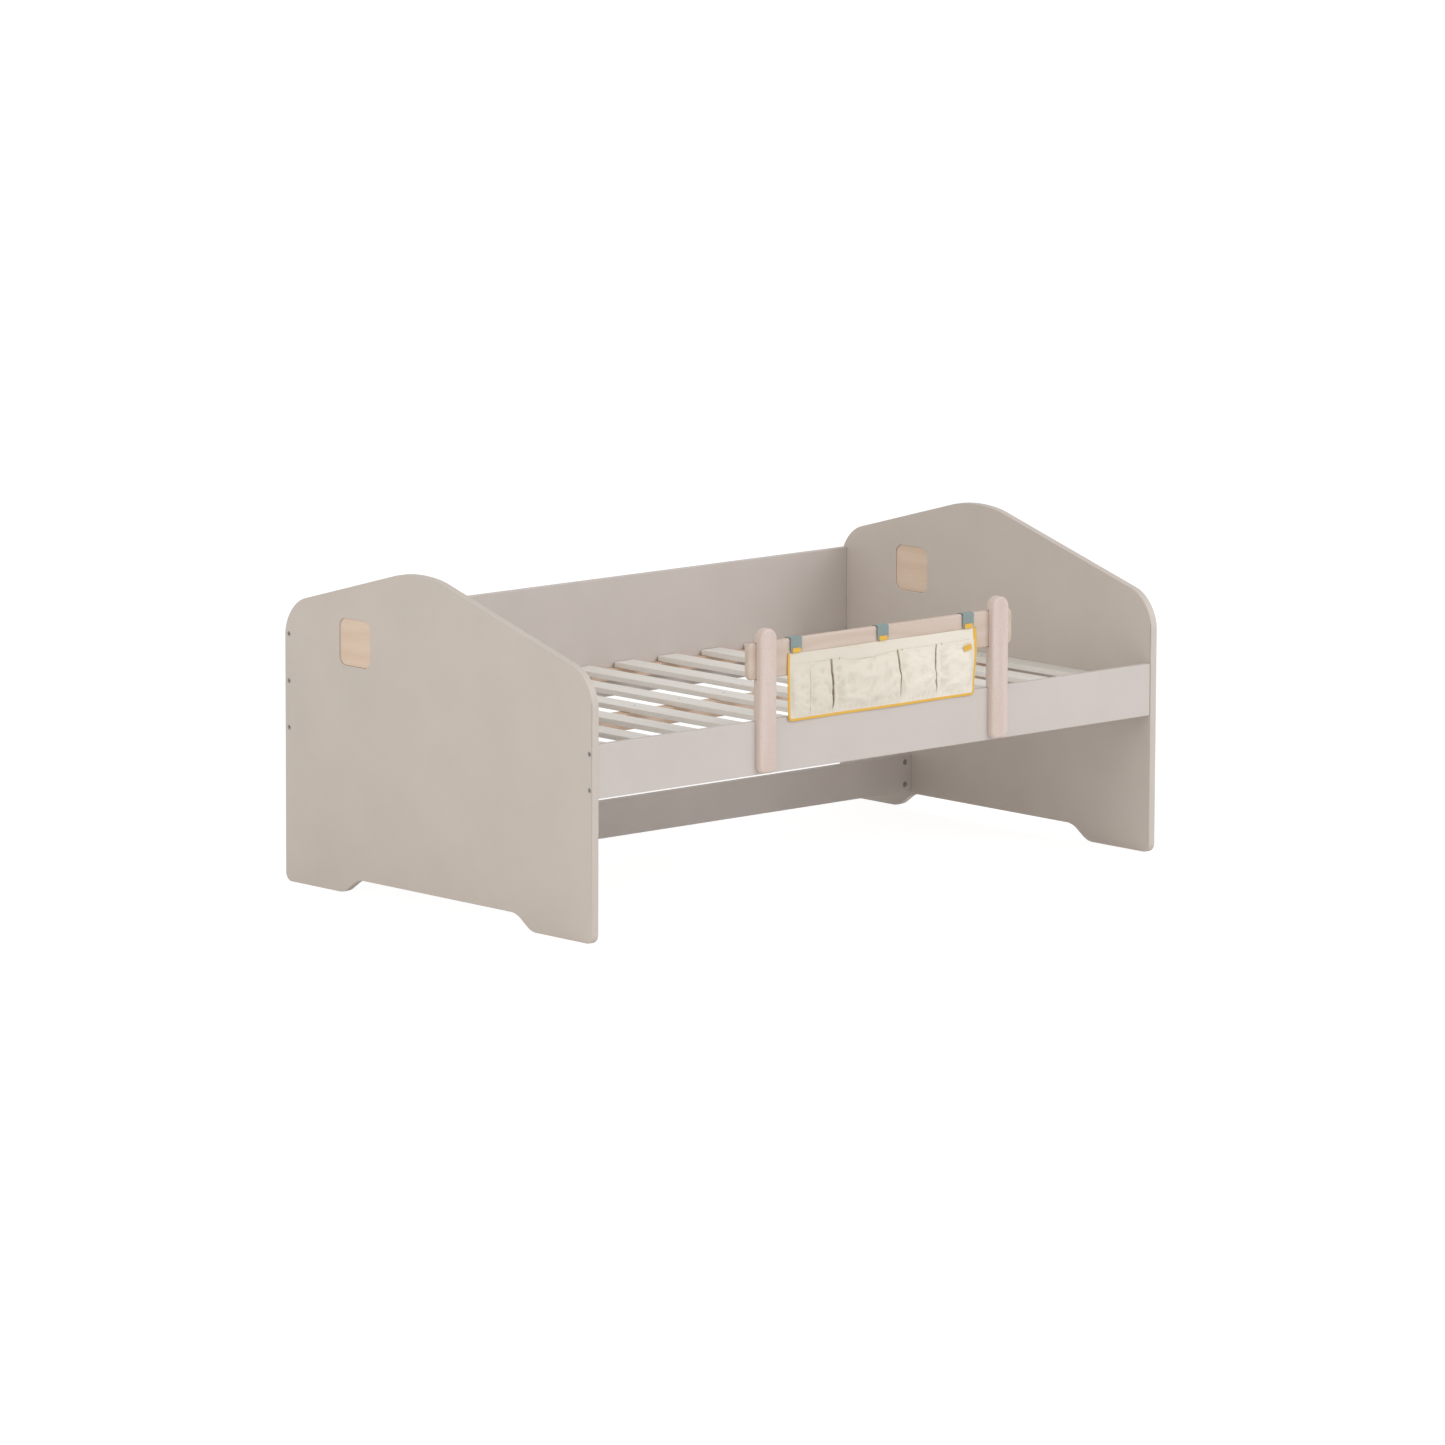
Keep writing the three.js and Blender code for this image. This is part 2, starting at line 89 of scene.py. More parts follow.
def openEdit(piece):
    only(piece)
    bpy.ops.object.mode_set(mode="EDIT")


def closeEdit():
    bpy.ops.object.mode_set(mode="OBJECT")


def pick(piece, kind, test):
    # in edit mode, leaves selected only the corners, edges or faces that pass the test
    bpy.ops.mesh.select_mode(type=kind)
    bpy.ops.mesh.select_all(action="DESELECT")
    shape = bmesh.from_edit_mesh(piece.data)
    parts = {"VERT": shape.verts, "EDGE": shape.edges, "FACE": shape.faces}[kind]
    found = [part for part in parts if test(part)]
    for part in found:
        part.select_set(True)
    bmesh.update_edit_mesh(piece.data)
    return len(found)


def middle(edge):
    return (edge.verts[0].co + edge.verts[1].co) / 2


def runsAlong(edge, axis):
    way = (edge.verts[1].co - edge.verts[0].co).normalized()
    return abs(way[axis]) > 0.999


def bevelPicked(width, steps):
    bpy.ops.mesh.bevel(
        offset=width, offset_type="OFFSET", segments=steps, profile=0.5, affect="EDGES", clamp_overlap=False
    )


def roundCorner(piece, axis, place, radius, steps):
    # rounds the one edge that runs along the axis through a place, to a true radius
    def isThere(edge):
        return runsAlong(edge, axis) and all(
            abs(middle(edge)[k] - place[k]) < 0.2 * mm for k in range(3) if k != axis
        )

    pick(piece, "EDGE", isThere)
    shape = bmesh.from_edit_mesh(piece.data)
    turn = max((edge.calc_face_angle() for edge in shape.edges if edge.select), default=0)
    if turn > 0:
        bevelPicked(radius * math.tan(turn / 2), steps)


def softenRims(piece, axis, levels, width, steps, least=40):
    # rounds the sharp edges that lie in the planes at the given levels along an axis
    def isRim(edge):
        flat = any(all(abs(v.co[axis] - level) < 0.05 * mm for v in edge.verts) for level in levels)
        return flat and edge.is_manifold and edge.calc_face_angle() > math.radians(least)

    if pick(piece, "EDGE", isRim):
        bevelPicked(width, steps)


def softenAll(piece, width, steps=2, least=40):
    def isSharp(edge):
        return edge.is_manifold and edge.calc_face_angle() > math.radians(least)

    if pick(piece, "EDGE", isSharp):
        bevelPicked(width, steps)


def cutWith(piece, cutters):
    # takes the cutters' shapes out of a piece and clears them away
    for cutter in cutters:
        useModifier(piece, "BOOLEAN", operation="DIFFERENCE", solver="EXACT", object=cutter)
        bpy.data.objects.remove(cutter)


def tidyFlats(piece):
    # merges doubles and takes out edges that only divide a flat face
    openEdit(piece)
    bpy.ops.mesh.select_all(action="SELECT")
    bpy.ops.mesh.remove_doubles(threshold=0.01 * mm)
    bpy.ops.mesh.dissolve_limited(angle_limit=math.radians(0.2))
    closeEdit()


def shadeSmooth(piece, angle):
    only(piece)
    bpy.ops.object.shade_smooth_by_angle(angle=math.radians(angle))


def smoothHard(piece, angle=40):
    # smooth over the rounded edges while the flats stay flat
    shadeSmooth(piece, angle)
    useModifier(piece, "WEIGHTED_NORMAL", keep_sharp=True)


def faceOutward(piece):
    openEdit(piece)
    bpy.ops.mesh.select_all(action="SELECT")
    bpy.ops.mesh.normals_make_consistent(inside=False)
    closeEdit()


def copyOf(piece, name, shift=(0, 0, 0), mirrorX=False):
    # a copy with a mesh of its own, moved or turned over from left to right
    only(piece)
    bpy.ops.object.duplicate(linked=False)
    twin = named(bpy.context.active_object, name)
    twin.location = shift
    if mirrorX:
        twin.scale.x = -1
    settle(twin)
    if mirrorX:
        faceOutward(twin)
    return twin


def useModifier(piece, kind, **settings):
    only(piece)
    bpy.ops.object.modifier_add(type=kind)
    change = piece.modifiers[-1]
    for key, value in settings.items():
        setattr(change, key, value)
    bpy.ops.object.modifier_apply(modifier=change.name)


def putOn(piece, body, slotName, material, *replaced):
    piece.data.materials.clear()
    piece.data.materials.append(material)
    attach(piece, body)
    if replaced:
        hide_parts(*replaced)
    return piece


# Shader parts

def link(tree, source, target):
    # a socket is linked, a plain value is set
    if isinstance(source, bpy.types.NodeSocket):
        tree.links.new(source, target)
    else:
        target.default_value = source


def place(tree, kind, values, **settings):
    node = tree.nodes.new("ShaderNode" + kind)
    for key, value in settings.items():
        setattr(node, key, value)
    for key, value in values.items():
        link(tree, value, node.inputs[key])
    return node


def calc(tree, operation, *values):
    node = tree.nodes.new("ShaderNodeMath")
    node.operation = operation
    for socket, value in zip(node.inputs, values):
        link(tree, value, socket)
    return node.outputs[0]


def times(tree, one, other):
    return calc(tree, "MULTIPLY", one, other)


def plus(tree, one, other):
    return calc(tree, "ADD", one, other)


def stretched(tree, vector, scale):
    return place(tree, "Mapping", {"Vector": vector, "Scale": scale}).outputs[0]


def noiseOver(tree, vector, scale, detail, roughness=0.5):
    values = {"Vector": vector, "Scale": scale, "Detail": detail, "Roughness": roughness}
    return place(tree, "TexNoise", values).outputs[0]


def mixColours(tree, share, one, other, how="MIX"):
    node = tree.nodes.new("ShaderNodeMix")
    node.data_type = "RGBA"
    node.blend_type = how
    link(tree, share, node.inputs[0])
    link(tree, one, node.inputs[6])
    link(tree, other, node.inputs[7])
    return node.outputs[2]


def spread(tree, value, low, high, newLow=0.0, newHigh=1.0):
    values = {"Value": value, "From Min": low, "From Max": high, "To Min": newLow, "To Max": newHigh}
    return place(tree, "MapRange", values).outputs["Result"]


def startGroup(name, inputs, outputs):
    tree = bpy.data.node_groups.new(name, "ShaderNodeTree")
    for label, kind, value in inputs:
        socket = tree.interface.new_socket(name=label, in_out="INPUT", socket_type="NodeSocket" + kind)
        if value is not None:
            socket.default_value = value
    for label, kind in outputs:
        tree.interface.new_socket(name=label, in_out="OUTPUT", socket_type="NodeSocket" + kind)
    return tree, tree.nodes.new("NodeGroupInput").outputs, tree.nodes.new("NodeGroupOutput").inputs


def makeWoodGrain():
    # grain that runs along x: broad bands, fine fibres and short dark flecks
    tree, given, out = startGroup(
        "woodGrain",
        [("Vector", "Vector", None), ("Band Scale", "Float", 26.0), ("Waviness", "Float", 1.0)],
        [("Bands", "Float"), ("Fibres", "Float"), ("Flecks", "Float")],
    )
    drift = noiseOver(tree, stretched(tree, given["Vector"], (1.6, 9.0, 9.0)), 1.0, 2.0)
    cross = place(tree, "SeparateXYZ", {"Vector": given["Vector"]}).outputs
    push = times(tree, calc(tree, "SUBTRACT", drift, 0.5), times(tree, given["Waviness"], 0.09))
    across = plus(tree, plus(tree, cross[1], times(tree, cross[2], 0.6)), push)
    phase = times(tree, across, times(tree, given["Band Scale"], 2 * math.pi))
    rings = calc(tree, "SINE", plus(tree, phase, times(tree, drift, 9.0)))
    link(tree, spread(tree, rings, -1.0, 1.0), out["Bands"])
    fibres = noiseOver(tree, stretched(tree, given["Vector"], (14.0, 620.0, 620.0)), 1.0, 3.0, 0.6)
    link(tree, fibres, out["Fibres"])
    dashes = noiseOver(tree, stretched(tree, given["Vector"], (130.0, 900.0, 900.0)), 1.0, 1.0)
    link(tree, spread(tree, dashes, 0.62, 0.74), out["Flecks"])
    return tree


def makeWeave():
    # a plain weave over the cloth's own flat layout, with uneven threads
    tree, given, out = startGroup(
        "weave",
        [("Vector", "Vector", None), ("Pitch", "Float", 0.0011), ("Unevenness", "Float", 0.35)],
        [("Threads", "Float"), ("Slubs", "Float")],
    )
    flat = place(tree, "SeparateXYZ", {"Vector": given["Vector"]}).outputs
    waves = []
    for side in range(2):
        turns = calc(tree, "DIVIDE", times(tree, flat[side], math.pi), given["Pitch"])
        waves.append(calc(tree, "SINE", turns))
    over = times(tree, waves[0], waves[1])
    fine = noiseOver(tree, given["Vector"], 420.0, 2.0)
    wobble = times(tree, calc(tree, "SUBTRACT", fine, 0.5), given["Unevenness"])
    link(tree, plus(tree, spread(tree, over, -1.0, 1.0), wobble), out["Threads"])
    slubs = noiseOver(tree, stretched(tree, given["Vector"], (35.0, 900.0, 900.0)), 1.0, 2.0)
    link(tree, spread(tree, slubs, 0.35, 0.75), out["Slubs"])
    return tree


def makeEdgeWear():
    # finds the rounded edges of a board by how its surface turns from the board's flat side; the Edge mask
    # carries a painted highlight along them, the Scuffs mask worn patches on them
    tree, given, out = startGroup(
        "edgeHighlightAndWear",
        [("Normal", "Vector", None), ("Vector", "Vector", None), ("Flat Side", "Vector", (1.0, 0.0, 0.0))],
        [("Edge", "Float"), ("Scuffs", "Float")],
    )
    sides = {0: given["Normal"], 1: given["Flat Side"]}
    facing = place(tree, "VectorMath", sides, operation="DOT_PRODUCT").outputs[1]
    square = times(tree, facing, facing)
    edge = times(tree, times(tree, square, calc(tree, "SUBTRACT", 1.0, square)), 4.0)
    link(tree, edge, out["Edge"])
    patches = noiseOver(tree, given["Vector"], 34.0, 4.0)
    link(tree, times(tree, edge, spread(tree, patches, 0.56, 0.68)), out["Scuffs"])
    return tree


def makeMottle():
    # cloudy variation, large and small
    tree, given, out = startGroup(
        "mottle",
        [("Vector", "Vector", None), ("Size", "Float", 6.0)],
        [("Clouds", "Float"), ("Grit", "Float")],
    )
    clouds = noiseOver(tree, given["Vector"], given["Size"], 3.0)
    link(tree, spread(tree, clouds, 0.3, 0.7), out["Clouds"])
    link(tree, noiseOver(tree, given["Vector"], 720.0, 2.0), out["Grit"])
    return tree


woodGrain = makeWoodGrain()
weave = makeWeave()
edgeHighlightAndWear = makeEdgeWear()
mottle = makeMottle()


def useGroup(tree, group, values):
    node = tree.nodes.new("ShaderNodeGroup")
    node.node_tree = group
    for key, value in values.items():
        link(tree, value, node.inputs[key])
    return node.outputs


def startMaterial(name):
    material = bpy.data.materials.new(name)
    material.use_nodes = True
    tree = material.node_tree
    shader = tree.nodes["Principled BSDF"]
    where = tree.nodes.new("ShaderNodeTexCoord").outputs
    return material, tree, shader.inputs, where


def bumpFrom(tree, height, strength, distance, under=None):
    values = {"Height": height, "Strength": strength, "Distance": distance}
    if under is not None:
        values["Normal"] = under
    return place(tree, "Bump", values).outputs[0]


def rgb(red, green, blue):
    # a screen colour, 0 to 255, as the renderer's linear colour
    def linear(part):
        part = part / 255
        return part / 12.92 if part <= 0.04045 else ((part + 0.055) / 1.055) ** 2.4

    return (linear(red), linear(green), linear(blue), 1.0)


def tinted(colour, share):
    # a colour scaled by one share, or by a share for each of its parts
    shares = share if isinstance(share, tuple) else (share,) * 3
    return tuple(part * each for part, each in zip(colour, shares)) + (1.0,)


def makeLacquer(name, colour, flatSide):
    # sprayed matt lacquer: a fine pebbled skin, faint clouds, a painted highlight along the rounded edges and
    # worn scuffs on them
    look = lacquerLook
    material, tree, shader, where = startMaterial(name)
    clouds = useGroup(tree, mottle, {"Vector": where["Object"], "Size": look["cloudSize"]})
    given = {"Normal": where["Normal"], "Vector": where["Object"], "Flat Side": flatSide}
    edgeLightAndWear = useGroup(tree, edgeHighlightAndWear, given)
    base = mixColours(tree, clouds["Clouds"], tinted(colour, look["darker"]), colour)
    # painted highlight: the rounded edges turn paler
    edgeHighlit = mixColours(tree, times(tree, edgeLightAndWear["Edge"], look["edge"]), base, tinted(colour, look["paler"]))
    scuffed = mixColours(tree, times(tree, edgeLightAndWear["Scuffs"], look["scuffs"]), edgeHighlit, look["bare"])
    link(tree, scuffed, shader["Base Color"])
    rough = spread(tree, clouds["Grit"], 0.3, 0.7, *look["rough"])
    link(tree, plus(tree, rough, times(tree, edgeLightAndWear["Scuffs"], look["scuffRough"])), shader["Roughness"])
    link(tree, bumpFrom(tree, clouds["Grit"], look["bump"], 0.0004), shader["Normal"])
    return material


def makeWood(name, light, dark, turn, look):
    # open-pored or sealed wood whose grain runs along x once the piece's place is turned
    material, tree, shader, where = startMaterial(name)
    turned = place(tree, "Mapping", {"Vector": where["Object"], "Rotation": turn}).outputs[0]
    given = {"Vector": turned, "Band Scale": look["bands"], "Waviness": look["waviness"]}
    grain = useGroup(tree, woodGrain, given)
    clouds = useGroup(tree, mottle, {"Vector": where["Object"], "Size": 4.0})
    tone = times(tree, grain["Bands"], look["bandDepth"])
    tone = plus(tree, tone, times(tree, grain["Fibres"], look["fibreDepth"]))
    base = mixColours(tree, tone, light, dark)
    drifted = mixColours(tree, times(tree, clouds["Clouds"], 0.22), base, dark)
    flecks = times(tree, grain["Flecks"], look["fleckDepth"])
    link(tree, mixColours(tree, flecks, drifted, tinted(dark, 0.62)), shader["Base Color"])
    smoothest, roughest = look["rough"] - 0.06, look["rough"] + 0.07
    link(tree, spread(tree, grain["Fibres"], 0.3, 0.7, smoothest, roughest), shader["Roughness"])
    fine = bumpFrom(tree, grain["Fibres"], 0.22, 0.0003)
    link(tree, bumpFrom(tree, grain["Flecks"], -0.25, 0.0003, fine), shader["Normal"])
    return material


def makeSteel(name, colour):
    # zinc-plated steel, lightly brushed and cloudy
    material, tree, shader, where = startMaterial(name)
    clouds = useGroup(tree, mottle, {"Vector": where["Object"], "Size": 160.0})
    link(tree, mixColours(tree, clouds["Clouds"], tinted(colour, 0.72), colour), shader["Base Color"])
    link(tree, spread(tree, clouds["Grit"], 0.3, 0.7, 0.26, 0.44), shader["Roughness"])
    link(tree, bumpFrom(tree, clouds["Grit"], 0.2, 0.0002), shader["Normal"])
    shader["Metallic"].default_value = 0.92
    return material


def makeCloth(name, colour, look):
    # woven cloth over the piece's own flat layout, with painted shade where its foldShade attribute says
    material, tree, shader, where = startMaterial(name)
    given = {"Vector": where["UV"], "Pitch": look["pitch"], "Unevenness": look["unevenness"]}
    threads = useGroup(tree, weave, given)
    clouds = useGroup(tree, mottle, {"Vector": where["Object"], "Size": 22.0})
    shade = tinted(colour, look["shade"])
    woven = mixColours(tree, times(tree, threads["Threads"], look["contrast"]), shade, colour)
    slubs = times(tree, threads["Slubs"], look["slubs"])
    slubbed = mixColours(tree, slubs, woven, look["slubColour"])
    drifted = mixColours(tree, times(tree, clouds["Clouds"], 0.2), slubbed, shade)
    # foldShade is painted shade: crease and seam lines, hollows and the left side darken towards shadeTint
    folded = place(tree, "Attribute", {}, attribute_name="foldShade").outputs["Fac"]
    link(tree, mixColours(tree, folded, drifted, tinted(colour, shadeTint)), shader["Base Color"])
    link(tree, spread(tree, threads["Threads"], 0.0, 1.0, 0.96, 0.84), shader["Roughness"])
    link(tree, bumpFrom(tree, threads["Threads"], look["bump"], 0.0004), shader["Normal"])
    shader["Sheen Weight"].default_value = look["sheen"]
    shader["Sheen Roughness"].default_value = 0.6
    return material


# paler and edge set the painted highlight on the rounded edges; scuffs, bare and scuffRough set the wear
# there
lacquerLook = {
    "cloudSize": 5.0, "darker": 0.955, "paler": 1.09, "edge": 0.55, "scuffs": 0.35,
    "bare": rgb(226, 214, 198), "rough": (0.46, 0.56), "scuffRough": 0.12, "bump": 0.16,
}
# the colour share that the cloth's painted shade darkens to
shadeTint = (0.33, 0.27, 0.19)
quarter = math.pi / 2
# the end panels take a slightly darker, warmer copy of the board lacquer: painted shade on the panels' faces
panelLacquerShaded = makeLacquer("greigePanelShaded", rgb(203, 194, 186), (1.0, 0.0, 0.0))
boardLacquer = makeLacquer("greigeBoard", rgb(205, 197, 192), (0.0, 1.0, 0.0))
beechLook = {
    "bands": 24.0, "waviness": 1.0, "bandDepth": 0.35, "fibreDepth": 0.55,
    "fleckDepth": 0.5, "rough": 0.5,
}
beechUpright = makeWood("beechUpright", rgb(220, 206, 200), rgb(205, 184, 172), (0, quarter, 0), beechLook)
beechAlong = makeWood("beechAlong", rgb(213, 198, 187), rgb(196, 175, 158), (0, 0, 0), beechLook)
birchLook = {
    "bands": 34.0, "waviness": 0.7, "bandDepth": 0.32, "fibreDepth": 0.5,
    "fleckDepth": 0.3, "rough": 0.52,
}
birch = makeWood("birchInlay", rgb(229, 210, 192), rgb(212, 185, 161), (0, 0, -quarter), birchLook)
slatLook = {
    "bands": 30.0, "waviness": 1.2, "bandDepth": 0.35, "fibreDepth": 0.45,
    "fleckDepth": 0.35, "rough": 0.62,
}
slatWood = makeWood("slatWood", rgb(238, 235, 230), rgb(224, 220, 213), (0, 0, -quarter), slatLook)
pineLook = {
    "bands": 40.0, "waviness": 1.6, "bandDepth": 0.6, "fibreDepth": 0.4,
    "fleckDepth": 0.2, "rough": 0.66,
}
pine = makeWood("pineAlong", rgb(222, 199, 181), rgb(206, 175, 152), (0, 0, 0), pineLook)
steel = makeSteel("zincSteel", rgb(188, 186, 182))
canvasLook = {
    "pitch": 0.0009, "unevenness": 0.5, "shade": 0.84, "contrast": 0.75,
    "slubs": 0.22, "slubColour": rgb(206, 190, 160), "bump": 0.4, "sheen": 0.15,
}
canvas = makeCloth("creamCanvas", rgb(247, 241, 228), canvasLook)
tapeLook = {
    "pitch": 0.0009, "unevenness": 0.3, "shade": 0.8, "contrast": 0.9,
    "slubs": 0.15, "slubColour": rgb(250, 214, 120), "bump": 0.5, "sheen": 0.1,
}
mustard = makeCloth("mustardTape", rgb(240, 190, 78), tapeLook)
webLook = {
    "pitch": 0.0017, "unevenness": 0.25, "shade": 0.74, "contrast": 0.9,
    "slubs": 0.2, "slubColour": rgb(155, 171, 169), "bump": 0.6, "sheen": 0.1,
}
webbing = makeCloth("greyGreenWebbing", rgb(143, 160, 159), webLook)
threadLook = {
    "pitch": 0.0005, "unevenness": 0.2, "shade": 0.8, "contrast": 0.8,
    "slubs": 0.1, "slubColour": rgb(200, 170, 120), "bump": 0.3, "sheen": 0.1,
}
creamThread = makeCloth("creamThread", rgb(224, 216, 200), threadLook)
goldThread = makeCloth("goldThread", rgb(222, 166, 58), threadLook)
brownThread = makeCloth("brownThread", rgb(150, 126, 92), threadLook)
print("materials are ready")

# Where the pieces go

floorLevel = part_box("left_end_panel")[0].z
railLow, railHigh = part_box("front_side_rail")
panelBolts = ("rail_bolt_1", "rail_bolt_2", "back_bolt_1", "back_bolt_2", "back_bolt_3")


def centreOf(node):
    low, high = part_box(node)
    return (low + high) / 2


# End panels

endPanel = {
    "ridgeFromFront": 694 * mm,
    "ridgeHeight": 913 * mm,
    "frontEave": 706 * mm,
    "backEave": 760 * mm,
    "ridgeRadius": 355 * mm,
    "eaveRadius": 112 * mm,
    "footLength": 243 * mm,
    "footSlant": 60 * mm,
    "footHeight": 42 * mm,
    "footRadius": 60 * mm,
    "footCorner": 24 * mm,
    "edge": 1.8 * mm,
    "boltHead": 6.8 * mm,
    "boltHeadDepth": 3.6 * mm,
    "boltShank": 3.3 * mm,
    "boltHoleStart": 2 * mm,
    "boltHoleReach": 30 * mm,
    "windowRadius": 24 * mm,
    "windowPlay": 0.3 * mm,
}


def makeBoltHole(place, outward):
    # a counterbore with a narrower hole right through the panel
    start = Vector(place)
    start.x += outward * endPanel["boltHoleStart"]
    end = Vector(place)
    end.x -= outward * endPanel["boltHeadDepth"]
    hole = addRod("boltHole", start, end, endPanel["boltHead"], 28)
    openEdit(hole)

    def isEnd(face):
        return abs(face.calc_center_median().x - end.x) < 0.01 * mm and len(face.verts) > 4

    pick(hole, "FACE", isEnd)
    bpy.ops.mesh.extrude_region_move()
    share = endPanel["boltShank"] / endPanel["boltHead"]
    bpy.ops.transform.resize(value=(1, share, share), center_override=end)
    through = (-outward * endPanel["boltHoleReach"], 0, 0)
    bpy.ops.mesh.extrude_region_move(TRANSFORM_OT_translate={"value": through})
    closeEdit()
    return hole


def roundedBlock(name, low, high, axis, radius, steps):
    # a block whose four edges along one axis are rounded
    block = addBox(name, low, high)
    openEdit(block)
    pick(block, "EDGE", lambda edge: runsAlong(edge, axis))
    bevelPicked(radius, steps)
    closeEdit()
    return block


def makeEndPanel(name, side):
    low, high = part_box(name)
    back = high.y
    outer = high.x if side > 0 else low.x
    panel = addBox(name + "_fine", low, (high.x, back, endPanel["ridgeHeight"]))
    ridgeY = low.y + endPanel["ridgeFromFront"]
    openEdit(panel)
    for eaveY, eave in ((low.y, endPanel["frontEave"]), (back, endPanel["backEave"])):
        rise = Vector((0, ridgeY - eaveY, endPanel["ridgeHeight"] - eave))
        upward = Vector((0, -rise.z, rise.y)) * (1 if rise.y > 0 else -1)
        bpy.ops.mesh.select_all(action="SELECT")
        bpy.ops.mesh.bisect(plane_co=(0, eaveY, eave), plane_no=upward, use_fill=True, clear_outer=True)
    footEnd, archStart = endPanel["footLength"], endPanel["footLength"] + endPanel["footSlant"]
    for cutY in (low.y + footEnd, low.y + archStart, back - archStart, back - footEnd):
        bpy.ops.mesh.select_all(action="SELECT")
        bpy.ops.mesh.bisect(plane_co=(0, cutY, 0), plane_no=(0, 1, 0))

    def underArch(vert):
        inside = low.y + archStart - mm < vert.co.y < back - archStart + mm
        return inside and vert.co.z < low.z + mm

    pick(panel, "VERT", underArch)
    bpy.ops.transform.translate(value=(0, 0, endPanel["footHeight"]))
    closeEdit()
    tidyFlats(panel)
    openEdit(panel)
    archZ = low.z + endPanel["footHeight"]
    corners = [
        (ridgeY, endPanel["ridgeHeight"], endPanel["ridgeRadius"], 28),
        (low.y, endPanel["frontEave"], endPanel["eaveRadius"], 24),
        (back, endPanel["backEave"], endPanel["eaveRadius"], 24),
        (low.y, low.z, endPanel["footCorner"], 10),
        (back, low.z, endPanel["footCorner"], 10),
        (low.y + footEnd, low.z, endPanel["footRadius"], 8),
        (back - footEnd, low.z, endPanel["footRadius"], 8),
        (low.y + archStart, archZ, endPanel["footRadius"], 8),
        (back - archStart, archZ, endPanel["footRadius"], 8),
    ]
    for y, z, radius, steps in corners:
        roundCorner(panel, 0, (0, y, z), radius, steps)
    closeEdit()
    inlayLow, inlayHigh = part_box(name.replace("end_panel", "window_inlay"))
    play = Vector((30 * mm, endPanel["windowPlay"], endPanel["windowPlay"]))
    window = roundedBlock("window", inlayLow - play, inlayHigh + play, 0, endPanel["windowRadius"], 12)
    prefix = name.split("_")[0]
    boltSpots = [centreOf(prefix + "_" + bolt) for bolt in panelBolts]
    boltHoles = [makeBoltHole((outer, spot.y, spot.z), side) for spot in boltSpots]
    cutWith(panel, [window, *boltHoles])
    tidyFlats(panel)
    openEdit(panel)

    def isWide(edge):
        # the outline's and the window's rims, but not the bolt holes'
        flat = any(all(abs(v.co.x - x) < 0.02 * mm for v in edge.verts) for x in (low.x, high.x))
        if not flat or not edge.is_manifold or edge.calc_face_angle() < math.radians(40):
            return False
        spot = middle(edge)
        return all((spot.yz - bolt.yz).length >= 2 * endPanel["boltHead"] for bolt in boltSpots)

    pick(panel, "EDGE", isWide)
    bevelPicked(endPanel["edge"], 3)
    closeEdit()
    smoothHard(panel, 35)
    return putOn(panel, "bed_frame", "greige_lacquer", panelLacquerShaded, name)


for name, side in (("left_end_panel", -1), ("right_end_panel", 1)):
    makeEndPanel(name, side)
    inlay = name.replace("end_panel", "window_inlay")
    low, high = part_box(inlay)
    plate = roundedBlock(inlay + "_fine", low, high, 0, endPanel["windowRadius"] - endPanel["windowPlay"], 12)
    openEdit(plate)
    softenRims(plate, 0, (low.x, high.x), 0.9 * mm, 2)
    closeEdit()
    smoothHard(plate)
    putOn(plate, "bed_frame", "birch_inlay", birch, inlay)
print("end panels and windows are made")

# Long boards

longBoard = {
    "edge": 1.4 * mm,
    "pinHole": 4.3 * mm,
    "pinDepth": 28.3 * mm,
    "camPocket": 7.8 * mm,
    "camPocketDepth": 12.8 * mm,
    "holePast": 5 * mm,
}


def makeLongBoard(node, holes=()):
    low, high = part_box(node)
    board = addBox(node + "_fine", low, high)
    cutWith(board, holes)
    openEdit(board)
    softenAll(board, longBoard["edge"], 3)
    closeEdit()
    smoothHard(board)
    return putOn(board, "bed_frame", "greige_lacquer", boardLacquer, node)


pinHoles = []
for side in ("left", "right"):
    pin = centreOf(side + "_guard_pin")
    bottom = (pin.x, pin.y, railHigh.z - longBoard["pinDepth"])
    top = (pin.x, pin.y, railHigh.z + longBoard["holePast"])
    pinHoles.append(addRod("pinHole", bottom, top, longBoard["pinHole"], 24))
makeLongBoard("front_side_rail", pinHoles)
makeLongBoard("back_panel")
camPockets = []
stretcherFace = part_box("lower_stretcher")[0].y
for cam in [side + "_cam_lock_" + str(i) for side in ("left", "right") for i in (1, 2)]:
    spot = centreOf(cam)
    inside = (spot.x, stretcherFace + longBoard["camPocketDepth"], spot.z)
    outside = (spot.x, stretcherFace - longBoard["holePast"], spot.z)
    camPockets.append(addRod("camPocket", inside, outside, longBoard["camPocket"], 28))
makeLongBoard("lower_stretcher", camPockets)
print("long boards are made")

# Deck

deck = {
    "slatEdge": 2.2 * mm,
    "cleatEdge": 2.0 * mm,
    "screwHead": 3.6 * mm,
    "sinkPlay": 0.5 * mm,
    "screwBelow": 0.6 * mm,
}
screwShape = {
    "headDepth": 2.6 * mm,
    "shankShare": 0.45,
    "rim": 0.35 * mm,
    "crossReach": 2.2 * mm,
    "crossWidth": 0.9 * mm,
    "crossDepth": 1.2 * mm,
}


